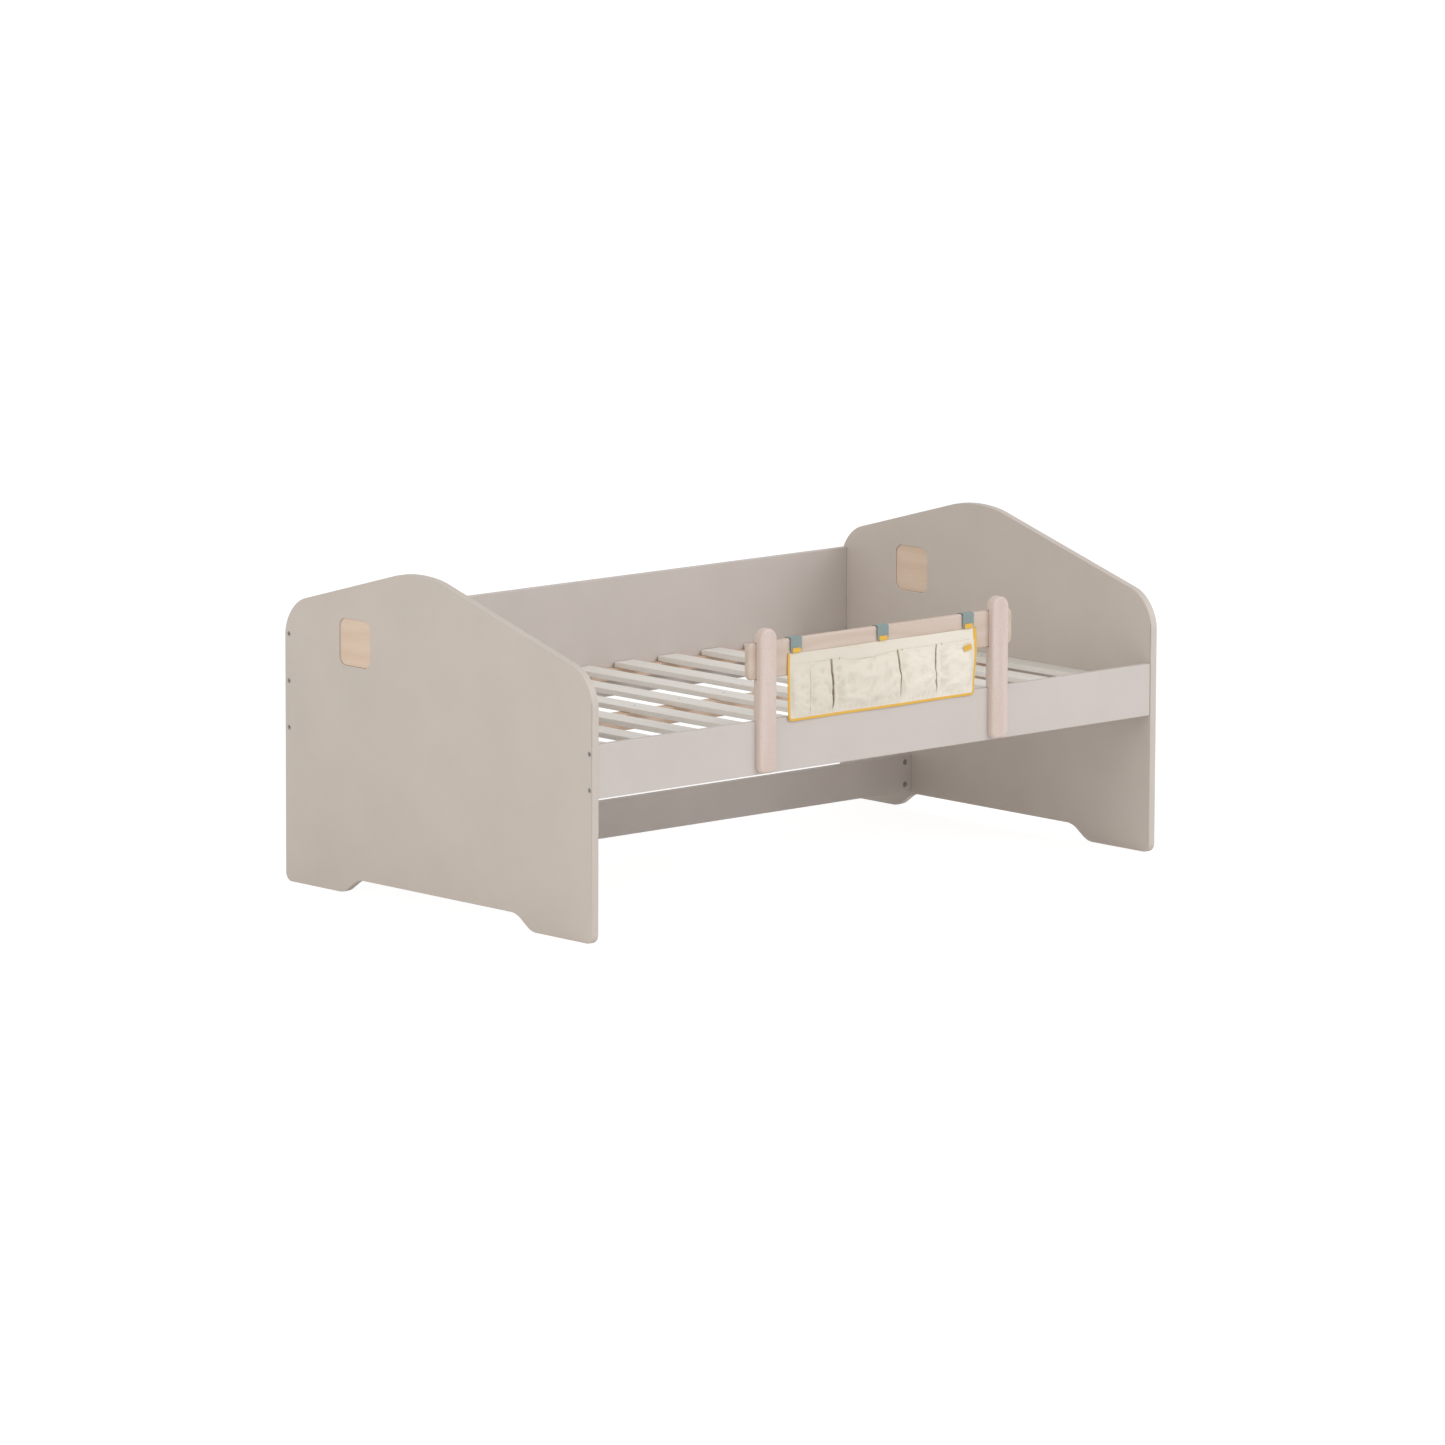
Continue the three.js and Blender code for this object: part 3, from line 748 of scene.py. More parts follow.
def makeScrew(name, top, up, radius, shank=0.0):
    # a countersunk head with a cross recess, facing the given way, over its shank
    top, up = Vector(top), Vector(up)
    under = top - up * screwShape["headDepth"]
    head = addRod(name, under, top, radius, 24)
    openEdit(head)

    def isTop(face):
        return len(face.verts) > 4 and (face.calc_center_median() - top).length < screwShape["headDepth"] / 2

    def isBottom(face):
        return len(face.verts) > 4 and not isTop(face)

    pick(head, "FACE", isBottom)
    bpy.ops.transform.resize(value=(screwShape["shankShare"],) * 3, center_override=under)
    if shank:
        bpy.ops.mesh.extrude_region_move(TRANSFORM_OT_translate={"value": -up * shank})
    pick(head, "FACE", isTop)
    bpy.ops.mesh.bevel(offset=screwShape["rim"], segments=2, affect="EDGES")
    closeEdit()
    acrossOne = up.orthogonal().normalized()
    acrossTwo = up.cross(acrossOne)
    cutters = []
    for way, other in ((acrossOne, acrossTwo), (acrossTwo, acrossOne)):
        half = way * screwShape["crossReach"] + other * screwShape["crossWidth"] / 2
        half = Vector([abs(part) for part in half + up * screwShape["crossDepth"]])
        cutters.append(addBox("crossSlot", top - half, top + half))
    cutWith(head, cutters)
    smoothHard(head)
    return head


def makeSink(spot, up, radius, sides):
    # the recess that a screw's head sits in, open upwards
    spot, up = Vector(spot), Vector(up)
    return addRod("sink", spot - up * (screwShape["headDepth"] + mm), spot + up * 3 * mm, radius, sides)


slatNodes = sorted(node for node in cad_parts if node.startswith("slat_"))
beamY = centreOf("centre_beam").y
firstLow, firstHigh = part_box(slatNodes[0])
firstX = (firstLow.x + firstHigh.x) / 2
slat = addBox("slatPattern", firstLow, firstHigh)
sink = makeSink((firstX, beamY, firstHigh.z), (0, 0, 1), deck["screwHead"] + deck["sinkPlay"], 24)
openEdit(slat)
softenAll(slat, deck["slatEdge"], 3)
closeEdit()
cutWith(slat, [sink])
smoothHard(slat)
screwTop = (firstX, beamY, firstHigh.z - deck["screwBelow"])
slatScrew = makeScrew("screwPattern", screwTop, (0, 0, 1), deck["screwHead"])
for i, node in enumerate(slatNodes):
    shift = (centreOf(node).x - firstX, 0, 0)
    putOn(copyOf(slat, node + "_fine", shift), "bed_frame", "slat_wood", slatWood, node)
    putOn(copyOf(slatScrew, "slat_screw_%02d" % (i + 1), shift), "bed_frame", "zinc_steel", steel)
bpy.data.objects.remove(slat)
bpy.data.objects.remove(slatScrew)
for node in ("front_cleat", "rear_cleat", "centre_beam"):
    low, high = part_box(node)
    bar = addBox(node + "_fine", low, high)
    openEdit(bar)
    softenAll(bar, deck["cleatEdge"], 2)
    closeEdit()
    smoothHard(bar)
    putOn(bar, "bed_frame", "pine", pine, node)
print("the deck is made")

# Guard rail

guard = {
    "postEdge": 7.5 * mm,
    "postFoot": 18 * mm,
    "boardCorner": 18 * mm,
    "boardEdge": 6 * mm,
    "play": 0.3 * mm,
    "cutPast": 20 * mm,
    "screwHead": 4.4 * mm,
    "sinkPlay": 0.4 * mm,
    "screwBelow": 0.3 * mm,
}
boardLow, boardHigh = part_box("guard_board")


def makeGuardPost(node):
    low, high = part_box(node)
    half = (high.x - low.x) / 2
    middleX = (low.x + high.x) / 2
    post = addBox(node + "_fine", low, high)
    openEdit(post)
    for x in (low.x, high.x):
        roundCorner(post, 1, (x, 0, high.z), half - 0.02 * mm, 20)
        roundCorner(post, 1, (x, 0, low.z), guard["postFoot"], 10)
    bpy.ops.mesh.select_all(action="SELECT")
    bpy.ops.mesh.remove_doubles(threshold=0.05 * mm)
    softenRims(post, 1, (low.y, high.y), guard["postEdge"], 6)
    closeEdit()
    past = guard["cutPast"]
    wide = half + past
    legBack = railLow.y - guard["play"]
    underShoulder = addBox(
        "underShoulder", (middleX - wide, legBack, low.z - past),
        (middleX + wide, high.y + past, railHigh.z + guard["play"]),
    )
    housing = addBox(
        "housing", (middleX - wide, legBack, boardLow.z - guard["play"]),
        (middleX + wide, high.y + past, boardHigh.z + guard["play"]),
    )
    cutWith(post, [underShoulder, housing])
    smoothHard(post, 42)
    return putOn(post, "guard", "beech", beechUpright, node)


makeGuardPost("left_guard_post")
makeGuardPost("right_guard_post")
board = roundedBlock("guard_board_fine", boardLow, boardHigh, 1, guard["boardCorner"], 12)
openEdit(board)
softenRims(board, 1, (boardLow.y, boardHigh.y), guard["boardEdge"], 5)
closeEdit()
guardScrews = [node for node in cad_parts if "_guard_screw_" in node]
screwSinks = []
for node in guardScrews:
    spot = centreOf(node)
    face = (spot.x, boardHigh.y, spot.z)
    screwSinks.append(makeSink(face, (0, 1, 0), guard["screwHead"] + guard["sinkPlay"], 28))
cutWith(board, screwSinks)
smoothHard(board)
for node in guardScrews:
    low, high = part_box(node)
    topY = high.y - guard["screwBelow"]
    shank = topY - low.y - screwShape["headDepth"]
    spot = centreOf(node)
    screw = makeScrew(node + "_part", (spot.x, topY, spot.z), (0, 1, 0), guard["screwHead"], shank)
    putOn(screw, "guard", "zinc_steel", steel, node)
putOn(board, "guard", "beech", beechAlong, "guard_board")
print("the guard rail is made")

# Fittings

fitting = {
    "headRadius": 6.5 * mm,
    "headDepth": 3 * mm,
    "shankRadius": 3 * mm,
    "socketRadius": 3.4 * mm,
    "socketDepth": 2.6 * mm,
    "headRim": 0.8 * mm,
    "camRadius": 7.5 * mm,
    "camRim": 0.6 * mm,
    "camRing": 0.7 * mm,
    "camRingDepth": 0.3 * mm,
    "camReach": 6.2 * mm,
    "camSlotHalf": 0.85 * mm,
    "camSlotDepth": 1.6 * mm,
    "pinRadius": 4 * mm,
    "pinRim": 1.2 * mm,
}


def rimBevel(piece, axis, level, width, steps=3):
    openEdit(piece)
    softenRims(piece, axis, (level,), width, steps)
    closeEdit()


def makePanelBolt(node):
    # a flat head with softened rim and six-sided socket, over a long shank
    low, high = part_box(node)
    centre = centreOf(node)
    start = Vector((low.x, centre.y, centre.z))
    neck = start + Vector((fitting["headDepth"], 0, 0))
    head = addRod(node + "_fine", start, neck, fitting["headRadius"], 36)
    openEdit(head)
    pick(head, "FACE", lambda face: len(face.verts) > 4 and face.calc_center_median().x > neck.x - 0.1 * mm)
    bpy.ops.mesh.extrude_region_move()
    share = fitting["shankRadius"] / fitting["headRadius"]
    bpy.ops.transform.resize(value=(1, share, share), center_override=neck)
    bpy.ops.mesh.extrude_region_move(TRANSFORM_OT_translate={"value": (high.x - neck.x, 0, 0)})
    closeEdit()
    rimBevel(head, 0, low.x, fitting["headRim"])
    deep = start + Vector((fitting["socketDepth"], 0, 0))
    cutWith(head, [addRod("socket", start - Vector((mm, 0, 0)), deep, fitting["socketRadius"], 6)])
    smoothHard(head)
    return head


def makeCamLock(node):
    # a round cam with a cross slot and a shallow ring around it
    low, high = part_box(node)
    centre = centreOf(node)
    face = Vector((centre.x, low.y, centre.z))
    cam = addRod(node + "_fine", (centre.x, high.y, centre.z), face, fitting["camRadius"], 36)
    rimBevel(cam, 1, low.y, fitting["camRim"])
    openEdit(cam)
    pick(cam, "FACE", lambda flat: len(flat.verts) > 4 and flat.calc_center_median().y < low.y + 0.1 * mm)
    bpy.ops.mesh.inset(thickness=fitting["camRing"])
    bpy.ops.transform.translate(value=(0, fitting["camRingDepth"], 0))
    closeEdit()
    slots = []
    for reachX, reachZ in (("camReach", "camSlotHalf"), ("camSlotHalf", "camReach")):
        half = Vector((fitting[reachX], 2 * fitting["camSlotDepth"], fitting[reachZ]))
        far = face + Vector((half.x, fitting["camSlotDepth"], half.z))
        slots.append(addBox("camCross", face - half, far))
    cutWith(cam, slots)
    smoothHard(cam)
    return cam


leftBolt = makePanelBolt("left_rail_bolt_1")
leftCam = makeCamLock("left_cam_lock_1")
for pattern, first, kinds in (
    (leftBolt, "left_rail_bolt_1", panelBolts),
    (leftCam, "left_cam_lock_1", ("cam_lock_1", "cam_lock_2")),
):
    start = centreOf(first)
    for kind in kinds:
        for side in ("left", "right"):
            node = side + "_" + kind
            centre = centreOf(node)
            shift = (0, centre.y - start.y, centre.z - start.z)
            twin = copyOf(pattern, node + "_part", shift, side == "right")
            putOn(twin, "bed_frame", "zinc_steel", steel, node)
    bpy.data.objects.remove(pattern)
for side in ("left", "right"):
    low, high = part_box(side + "_guard_pin")
    centre = centreOf(side + "_guard_pin")
    bottom, top = (centre.x, centre.y, low.z), (centre.x, centre.y, high.z)
    pin = addRod(side + "_guard_pin_fine", bottom, top, fitting["pinRadius"], 32)
    rimBevel(pin, 2, low.z, fitting["pinRim"])
    smoothHard(pin)
    putOn(pin, "guard", "zinc_steel", steel, side + "_guard_pin")
for node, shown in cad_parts.items():
    if any(part in node for part in ("_cam_dowel", "_hanger")):
        for holder in shown.material_slots:
            holder.material = steel
print("the fittings are made")

# Organizer

backLow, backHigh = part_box("organizer_back")
stripLow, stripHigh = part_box("organizer_pockets")
bindingLow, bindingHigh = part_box("organizer_binding")
organizer = {
    "thickness": 1.1 * mm,
    "pocketThickness": 0.7 * mm,
    "overlap": 2 * mm,
    "waveDepth": 2.4 * mm,
    "waveRate": 17.0,
    "wavePhase": 0.8,
    "rightWave": 2.6 * mm,
    "rightWaveFrom": 240 * mm,
    "sideWander": 1.2 * mm,
    "topSag": 1.2 * mm,
    "rightTuck": 6.5 * mm,
    "sideFrom": 150 * mm,
    "sideTo": 345 * mm,
    "tackDepth": 1.4 * mm,
    "leastDepth": 0.2 * mm,
    "foldLift": 1.7,
    # painted shade on the cloth: how strongly its hollows darken, the most they darken, and how much its left
    # side darkens
    "hollowShade": 105.0,
    "mostHollowShade": 0.15,
    "leftShade": 0.16,
    "seamX": -267 * mm,
    "seamTop": 655 * mm,
    "bindingHalf": 4.3 * mm,
    "bindingThick": 1.6 * mm,
    "bindingInset": 3 * mm,
    "bindingFlare": 0.5,
    "bindingTurn": 9 * mm,
}

# each crease's way down the strip as (x, z), how wide it opens, and where its flap is tacked on its right
creases = [
    {
        "line": [(-190, 672), (-189, 640), (-187, 580), (-184, 535), (-184, 515)],
        "width": 4.6, "tack": -159,
    },
    {
        "line": [(53, 672), (57, 640), (60, 590), (65, 545), (66, 515)],
        "width": 3.9, "tack": 71,
    },
    {
        "line": [(198, 672), (194, 640), (190, 600), (193, 585), (198, 540), (199, 515)],
        "width": 3.3, "tack": 218,
    },
]
# each pocket from its left to its right side, how far it stands out and how far at its right lip,
# how far its mouth sags and where the sag is lowest
pockets = [
    {"from": -338, "to": -267, "depth": 4.6, "lip": 4.0, "sag": 1.5, "lean": 1.0},
    {"from": -267, "to": -188, "depth": 6.2, "lip": 6.6, "sag": 2.0, "lean": 1.0},
    {"from": -159, "to": 58, "depth": 10.4, "lip": 6.6, "sag": 11.0, "lean": 0.7},
    {"from": 71, "to": 196, "depth": 8.4, "lip": 6.4, "sag": 2.0, "lean": 1.2},
    {"from": 218, "to": 338, "depth": 8.8, "lip": 1.6, "sag": 1.0, "lean": 1.0},
]
# soft ridges drawn from one place to another, with their width and height
folds = [
    (-335, 600, -275, 560, 9, 1.2), (-330, 640, -300, 620, 8, 0.9), (-262, 590, -205, 560, 10, 1.0),
    (-325, 545, -285, 528, 6, 1.1), (-255, 640, -205, 615, 8, 1.0), (-250, 532, -200, 545, 6, 1.2),
    (-150, 655, -40, 600, 14, 2.0), (-120, 600, 10, 625, 12, 1.4), (-140, 560, -60, 545, 10, 1.4),
    (-30, 640, 45, 655, 9, 1.6), (-20, 560, 50, 600, 12, 1.9), (0, 540, 40, 530, 8, 1.5),
    (-150, 530, -70, 522, 5, 1.6), (20, 640, 52, 560, 7, 1.5), (-145, 640, -130, 560, 7, 1.3),
    (85, 650, 170, 610, 12, 1.6), (95, 560, 180, 592, 11, 1.6), (150, 575, 188, 590, 5, 1.9),
    (165, 610, 190, 594, 5, 1.7), (175, 560, 191, 586, 5, 1.8), (200, 590, 230, 572, 7, 1.6),
    (85, 530, 140, 548, 6, 1.3), (75, 600, 95, 540, 6, 1.1),
    (230, 640, 320, 600, 13, 1.6), (240, 550, 330, 575, 11, 1.7), (225, 610, 280, 640, 9, 1.2),
]


def standGrid(name, columns, rows):
    # an upright grid, one unit wide and high, to be laid out in code
    bpy.ops.object.select_all(action="DESELECT")
    bpy.ops.mesh.primitive_grid_add(
        x_subdivisions=columns, y_subdivisions=rows, size=1, location=(0.5, 0, 0.5), rotation=(quarter, 0, 0)
    )
    return settle(named(bpy.context.active_object, name))


def layOut(sheet, where, flatWidth, flatHeight, shadeAt=None):
    # moves each corner of an upright grid to where(u, v), and scales its flat layout to metres
    shades = sheet.data.attributes.new("foldShade", "FLOAT", "POINT") if shadeAt else None
    for i, vert in enumerate(sheet.data.vertices):
        u, v = vert.co.x, vert.co.z
        vert.co = where(u, v)
        if shades:
            shades.data[i].value = shadeAt(u, v)
    for corner in sheet.data.uv_layers.active.data:
        corner.uv = (corner.uv[0] * flatWidth, corner.uv[1] * flatHeight)
    sheet.data.update()


def smoothStep(value, low, high):
    share = min(1.0, max(0.0, (value - low) / (high - low)))
    return share * share * (3 - 2 * share)


def bump(value, centre, width):
    return math.exp(-(((value - centre) / width) ** 2))


def along(points, z):
    # the value at a height, between (value, height) pairs that go downwards
    for (one, upper), (other, lower) in zip(points, points[1:]):
        if z >= lower:
            return one + (other - one) * smoothStep(z, upper, lower)
    return points[-1][0]


def dropAt(z):
    return (backHigh.z - z) / (backHigh.z - backLow.z)


def sheetWave(x, z):
    # how far the hanging cloth stands forward of its flat place
    drop = dropAt(z)
    slow = 0.5 + 0.5 * math.sin(x * organizer["waveRate"] + organizer["wavePhase"])
    right = smoothStep(x, organizer["rightWaveFrom"], organizer["sideTo"])
    right *= math.sin(math.pi * smoothStep(drop, 0.0, 0.92))
    return organizer["waveDepth"] * smoothStep(drop, 0.0, 0.65) * slow + organizer["rightWave"] * right


def sheetSide(x, z):
    # how far the cloth's side edges wander along the bed
    drop, wander = dropAt(z), organizer["sideWander"]
    tuck = organizer["rightTuck"] * smoothStep(drop, 0.35, 1.1)
    right = smoothStep(x, organizer["sideFrom"], organizer["sideTo"]) * (wander * math.sin(drop * 7) - tuck)
    left = smoothStep(-x, organizer["sideFrom"], organizer["sideTo"]) * wander * math.sin(drop * 4)
    return right - left


def ridge(x, z, fold):
    x0, z0, x1, z1, width, height = (part * mm for part in fold)
    way = Vector((x1 - x0, z1 - z0))
    share = min(1.0, max(0.0, (Vector((x - x0, z - z0)).dot(way)) / way.length_squared))
    off = math.hypot(x - x0 - share * way.x, z - z0 - share * way.y)
    return organizer["foldLift"] * height * bump(off, 0.0, width) * math.sin(math.pi * (0.15 + 0.7 * share))


def creaseAt(crease, z):
    # how far along the bed a crease stands at a height, and how wide it is there
    x = along([(cx * mm, cz * mm) for cx, cz in crease["line"]], z)
    return x, crease["width"] * mm * (0.3 + 0.7 * smoothStep(z, stripLow.z + 4 * mm, stripLow.z + 50 * mm))


def bodyDepth(x):
    # the pockets' soft fronts and the flaps between a crease and its tack
    first = organizer["tackDepth"]
    for pocket in pockets:
        start, end = pocket["from"] * mm, pocket["to"] * mm
        if start <= x < end:
            share = (x - start) / (end - start)
            depth, lip = pocket["depth"] * mm, pocket["lip"] * mm
            swell = (depth - first) * smoothStep(share, 0.0, 0.42)
            return first + swell - (depth - lip) * smoothStep(share, 0.55, 1.0)
    for crease, pocket in zip(creases, pockets[1:]):
        start, tack = pocket["to"] * mm, crease["tack"] * mm
        if start <= x < tack:
            lip = 0.8 * pocket["lip"] * mm
            return lip + (first - lip) * smoothStep((x - start) / (tack - start), 0.2, 1.0)
    return first


def crumple(x, z):
    # small wrinkles: soft-edged ridges that wander, over a finer unevenness
    bend = noise.noise(Vector((x * 9, z * 9, 3.0)))
    slanted = Vector((x * 26 + z * 18 + bend * 2.2, z * 40 - x * 9, 6.5))
    ridged = 1 - abs(noise.noise(slanted)) * 2.6
    fine = noise.noise(Vector((x * 105, z * 85, 4.1)))
    broad = noise.noise(Vector((x * 30, z * 22, 1.7)))
    return (1.7 * ridged + 2.6 * broad + 0.5 * fine) * mm


def pocketDepth(x, z):
    # how far the pocket cloth stands forward of the back sheet
    drop = smoothStep(z, stripLow.z + 2 * mm, stripLow.z + 40 * mm)
    mouth = 1.0 - 0.9 * smoothStep(z, stripHigh.z - 60 * mm, stripHigh.z)
    ridges = sum(ridge(x, z, fold) for fold in folds) * smoothStep(z, stripLow.z, stripLow.z + 14 * mm)
    pucker = 0.6 * mm * math.sin(x * 330 + 3 * noise.noise(Vector((x * 30, 0, 9))))
    pucker *= 1 - smoothStep(z, stripLow.z + 6 * mm, stripLow.z + 30 * mm)
    total = bodyDepth(x) * drop * mouth + pucker
    total += (ridges + crumple(x, z)) * (0.35 + 0.65 * drop) * (0.3 + 0.7 * mouth)
    for crease in creases:
        at, width = creaseAt(crease, z)
        total *= smoothStep(abs(x - at), 0.12 * width, width)
    seamTop = organizer["seamTop"]
    seam = bump(x, organizer["seamX"], 1.6 * mm) * (1 - smoothStep(z, seamTop - 7 * mm, seamTop))
    fromSide = min(x - stripLow.x, stripHigh.x - x)
    total *= (1 - 0.85 * seam) * (0.05 + 0.95 * smoothStep(fromSide, 4 * mm, 17 * mm))
    total *= smoothStep(z, bindingLow.z + 5 * mm, bindingLow.z + 14 * mm)
    return max(organizer["leastDepth"], total)


def lineShade(x, z):
    # the creases' deep lines and the seam line, where painted shade darkens the cloth
    shade = 0.0
    for crease in creases:
        at, width = creaseAt(crease, z)
        ends = smoothStep(z, stripLow.z + 6 * mm, stripLow.z + 26 * mm)
        shade = max(shade, ends * bump(x, at + 0.15 * width, 0.85 * width))
    seamTop = organizer["seamTop"]
    seam = bump(x, organizer["seamX"], 1.1 * mm) * (1 - smoothStep(z, seamTop - 25 * mm, seamTop))
    seam *= smoothStep(z, stripLow.z + 3 * mm, stripLow.z + 20 * mm)
    return max(shade, 0.5 * seam)


def backFace(x, z):
    return backHigh.y - organizer["thickness"] / 2 - sheetWave(x, z)


def stripFace(x, z, depth=None):
    if depth is None:
        depth = pocketDepth(x, z)
    return backFace(x, z) - (organizer["thickness"] + organizer["pocketThickness"]) / 2 - depth


def columnPlaces(count):
    # places across the strip, closer together at the creases and the seam
    spots = [organizer["seamX"]] + [crease["line"][2][0] * mm for crease in creases]
    fine = 3000
    low, high = stripLow.x, stripHigh.x
    weights = []
    for i in range(fine):
        x = low + (high - low) * (i + 0.5) / fine
        weights.append(1.0 + sum(7.0 * bump(x, spot, 9 * mm) for spot in spots))
    places, done, step = [low], 0.0, sum(weights) / count
    for i, weight in enumerate(weights):
        done += weight
        while done >= step * len(places) and len(places) < count:
            places.append(low + (high - low) * (i + 1) / fine)
    return places + [high]


def makeBackSheet():
    sheet = standGrid("organizer_back_cloth", 180, 52)
    left, right = backLow.x - organizer["overlap"], backHigh.x + organizer["overlap"]
    bottom, top = backLow.z - organizer["overlap"], backHigh.z
    bay = right - centreOf("middle_strap").x

    def where(u, v):
        # the top edge sags a little between the straps
        x, z = left + (right - left) * u, bottom + (top - bottom) * v
        sag = organizer["topSag"] * math.sin(math.pi * ((x + bay) / bay % 1.0))
        sag *= smoothStep(z, top - 50 * mm, top)
        return Vector((x + sheetSide(x, z), backFace(x, z), z - sag))

    def shadeAt(u, v):
        # painted shade: the sheet darkens towards its left side
        return organizer["leftShade"] * smoothStep(1 - u, 0.15, 0.75)

    layOut(sheet, where, right - left, top - bottom, shadeAt)
    useModifier(sheet, "SOLIDIFY", thickness=organizer["thickness"], offset=0)
    shadeSmooth(sheet, 50)
    return putOn(sheet, "organizer", "canvas", canvas, "organizer_back")


def mouthSag(x):
    # how far a pocket's mouth sags
    for pocket in pockets:
        start, end = pocket["from"] * mm, pocket["to"] * mm
        if start <= x <= end:
            return pocket["sag"] * mm * math.sin(math.pi * ((x - start) / (end - start)) ** pocket["lean"])
    return 0.0


def makePocketStrip():
    columns, rows = 330, 66
    strip = standGrid("organizer_pocket_cloth", columns, rows)
    depths = {}
    for column, x in enumerate(columnPlaces(columns)):
        top = stripHigh.z - mouthSag(x)
        for row in range(rows + 1):
            z = stripLow.z + (top - stripLow.z) * row / rows
            depths[column, row] = (x, z, pocketDepth(x, z))

    def hollow(column, row):
        # how far the cloth lies behind the cloth around it
        around = [
            depths[min(columns, max(0, column + right)), min(rows, max(0, row + up))][2]
            for right in (-7, -3, 0, 3, 7) for up in (-5, -2, 0, 2, 5)
        ]
        return sum(around) / len(around) - depths[column, row][2]

    def where(u, v):
        x, z, depth = depths[round(u * columns), round(v * rows)]
        return Vector((x + sheetSide(x, z), stripFace(x, z, depth), z))

    def shadeAt(u, v):
        column, row = round(u * columns), round(v * rows)
        x, z, depth = depths[column, row]
        # painted shade: crease and seam lines, hollows lying behind the cloth around them, and the strip's
        # left side
        soft = min(organizer["mostHollowShade"], max(0.0, hollow(column, row) * organizer["hollowShade"]))
        return min(1.0, lineShade(x, z) + soft + organizer["leftShade"] * smoothStep(1 - u, 0.15, 0.75))

    layOut(strip, where, stripHigh.x - stripLow.x, stripHigh.z - stripLow.z, shadeAt)
    useModifier(strip, "SOLIDIFY", thickness=organizer["pocketThickness"], offset=0)
    shadeSmooth(strip, 60)
    return putOn(strip, "organizer", "canvas", canvas, "organizer_pockets")


def bindingPath():
    # down the left edge, round two corners and up the right edge, as (x, z)
    half = (bindingHigh.x - bindingLow.x) / 2 - organizer["bindingInset"]
    bottom, top = bindingLow.z + organizer["bindingInset"], bindingHigh.z - 0.5 * mm
    r = organizer["bindingTurn"]
    turn = [(1 - math.cos(quarter * i / 12), 1 - math.sin(quarter * i / 12)) for i in range(13)]
    path = [(-half, top - (top - bottom - r) * i / 60) for i in range(60)]
    path += [(-half + r * x, bottom + r * z) for x, z in turn]
    path += [(-half + r + (2 * half - 2 * r) * i / 200, bottom) for i in range(1, 200)]
    path += [(half - r * x, bottom + r * z) for x, z in reversed(turn)]
    path += [(half, bottom + r + (top - bottom - r) * i / 60) for i in range(1, 61)]
    return path


def makeBinding():
    # a folded tape over the left, bottom and right edges, following the cloth
    path = bindingPath()
    rows, columns = 16, len(path) - 1
    tape = standGrid("organizer_binding_tape", columns, rows)
    lengths = [0.0]
    for (x0, z0), (x1, z1) in zip(path, path[1:]):
        lengths.append(lengths[-1] + math.hypot(x1 - x0, z1 - z0))

    def where(u, v):
        i = round(u * columns)
        x, z = path[i]
        (xa, za), (xb, zb) = path[max(0, i - 1)], path[min(columns, i + 1)]
        way = Vector((xb - xa, zb - za)).normalized()
        flare = smoothStep(x, 330 * mm, 340 * mm) * smoothStep(dropAt(z), 0.55, 0.15)
        wide = organizer["bindingHalf"] * (1 + organizer["bindingFlare"] * flare)
        turn = 2 * math.pi * v
        offIn = wide * math.copysign(abs(math.cos(turn)) ** 0.75, math.cos(turn))
        offOut = organizer["bindingThick"] * math.copysign(abs(math.sin(turn)) ** 0.75, math.sin(turn))
        gather = 0.18 * mm * math.sin(lengths[i] * 900)
        y = backFace(x, z) + offOut + gather - 0.2 * mm
        return Vector((x - way.y * offIn + sheetSide(x, z), y, z + way.x * offIn))

    layOut(tape, where, lengths[-1], 0.02)
    openEdit(tape)
    bpy.ops.mesh.select_all(action="SELECT")
    bpy.ops.mesh.remove_doubles(threshold=0.01 * mm)
    bpy.ops.mesh.select_all(action="DESELECT")
    bpy.ops.mesh.select_mode(type="EDGE")
    bpy.ops.mesh.select_non_manifold()
    bpy.ops.mesh.fill_holes(sides=0)
    closeEdit()
    faceOutward(tape)
    shadeSmooth(tape, 60)
    return putOn(tape, "organizer", "mustard_tape", mustard, "organizer_binding")


backSheet = makeBackSheet()
pocketStrip = makePocketStrip()
binding = makeBinding()
print("the organizer's cloth is made")

# Straps, tabs and tag

strapLook = {
    "thickness": 1.4 * mm,
    "frontEnd": 701.5 * mm,
    "corner": 3.2 * mm,
    "step": 2.5 * mm,
    "tabHalf": 15 * mm,
    "tabRise": 10.5 * mm,
    "tabDrop": 2.5 * mm,
    "tabThick": 2.6 * mm,
    "tabCorner": 4 * mm,
    "tagHalf": (14 * mm, 0.5 * mm, 8 * mm),
    "tagTurn": -0.2,
}


def evenPath(points, step):
    # evenly spaced places along a broken line
    places = [Vector(points[0])]
    for start, end in zip(points, points[1:]):
        start, end = Vector(start), Vector(end)
        count = max(1, round((end - start).length / step))
        places += [start.lerp(end, i / count) for i in range(1, count + 1)]
    return places


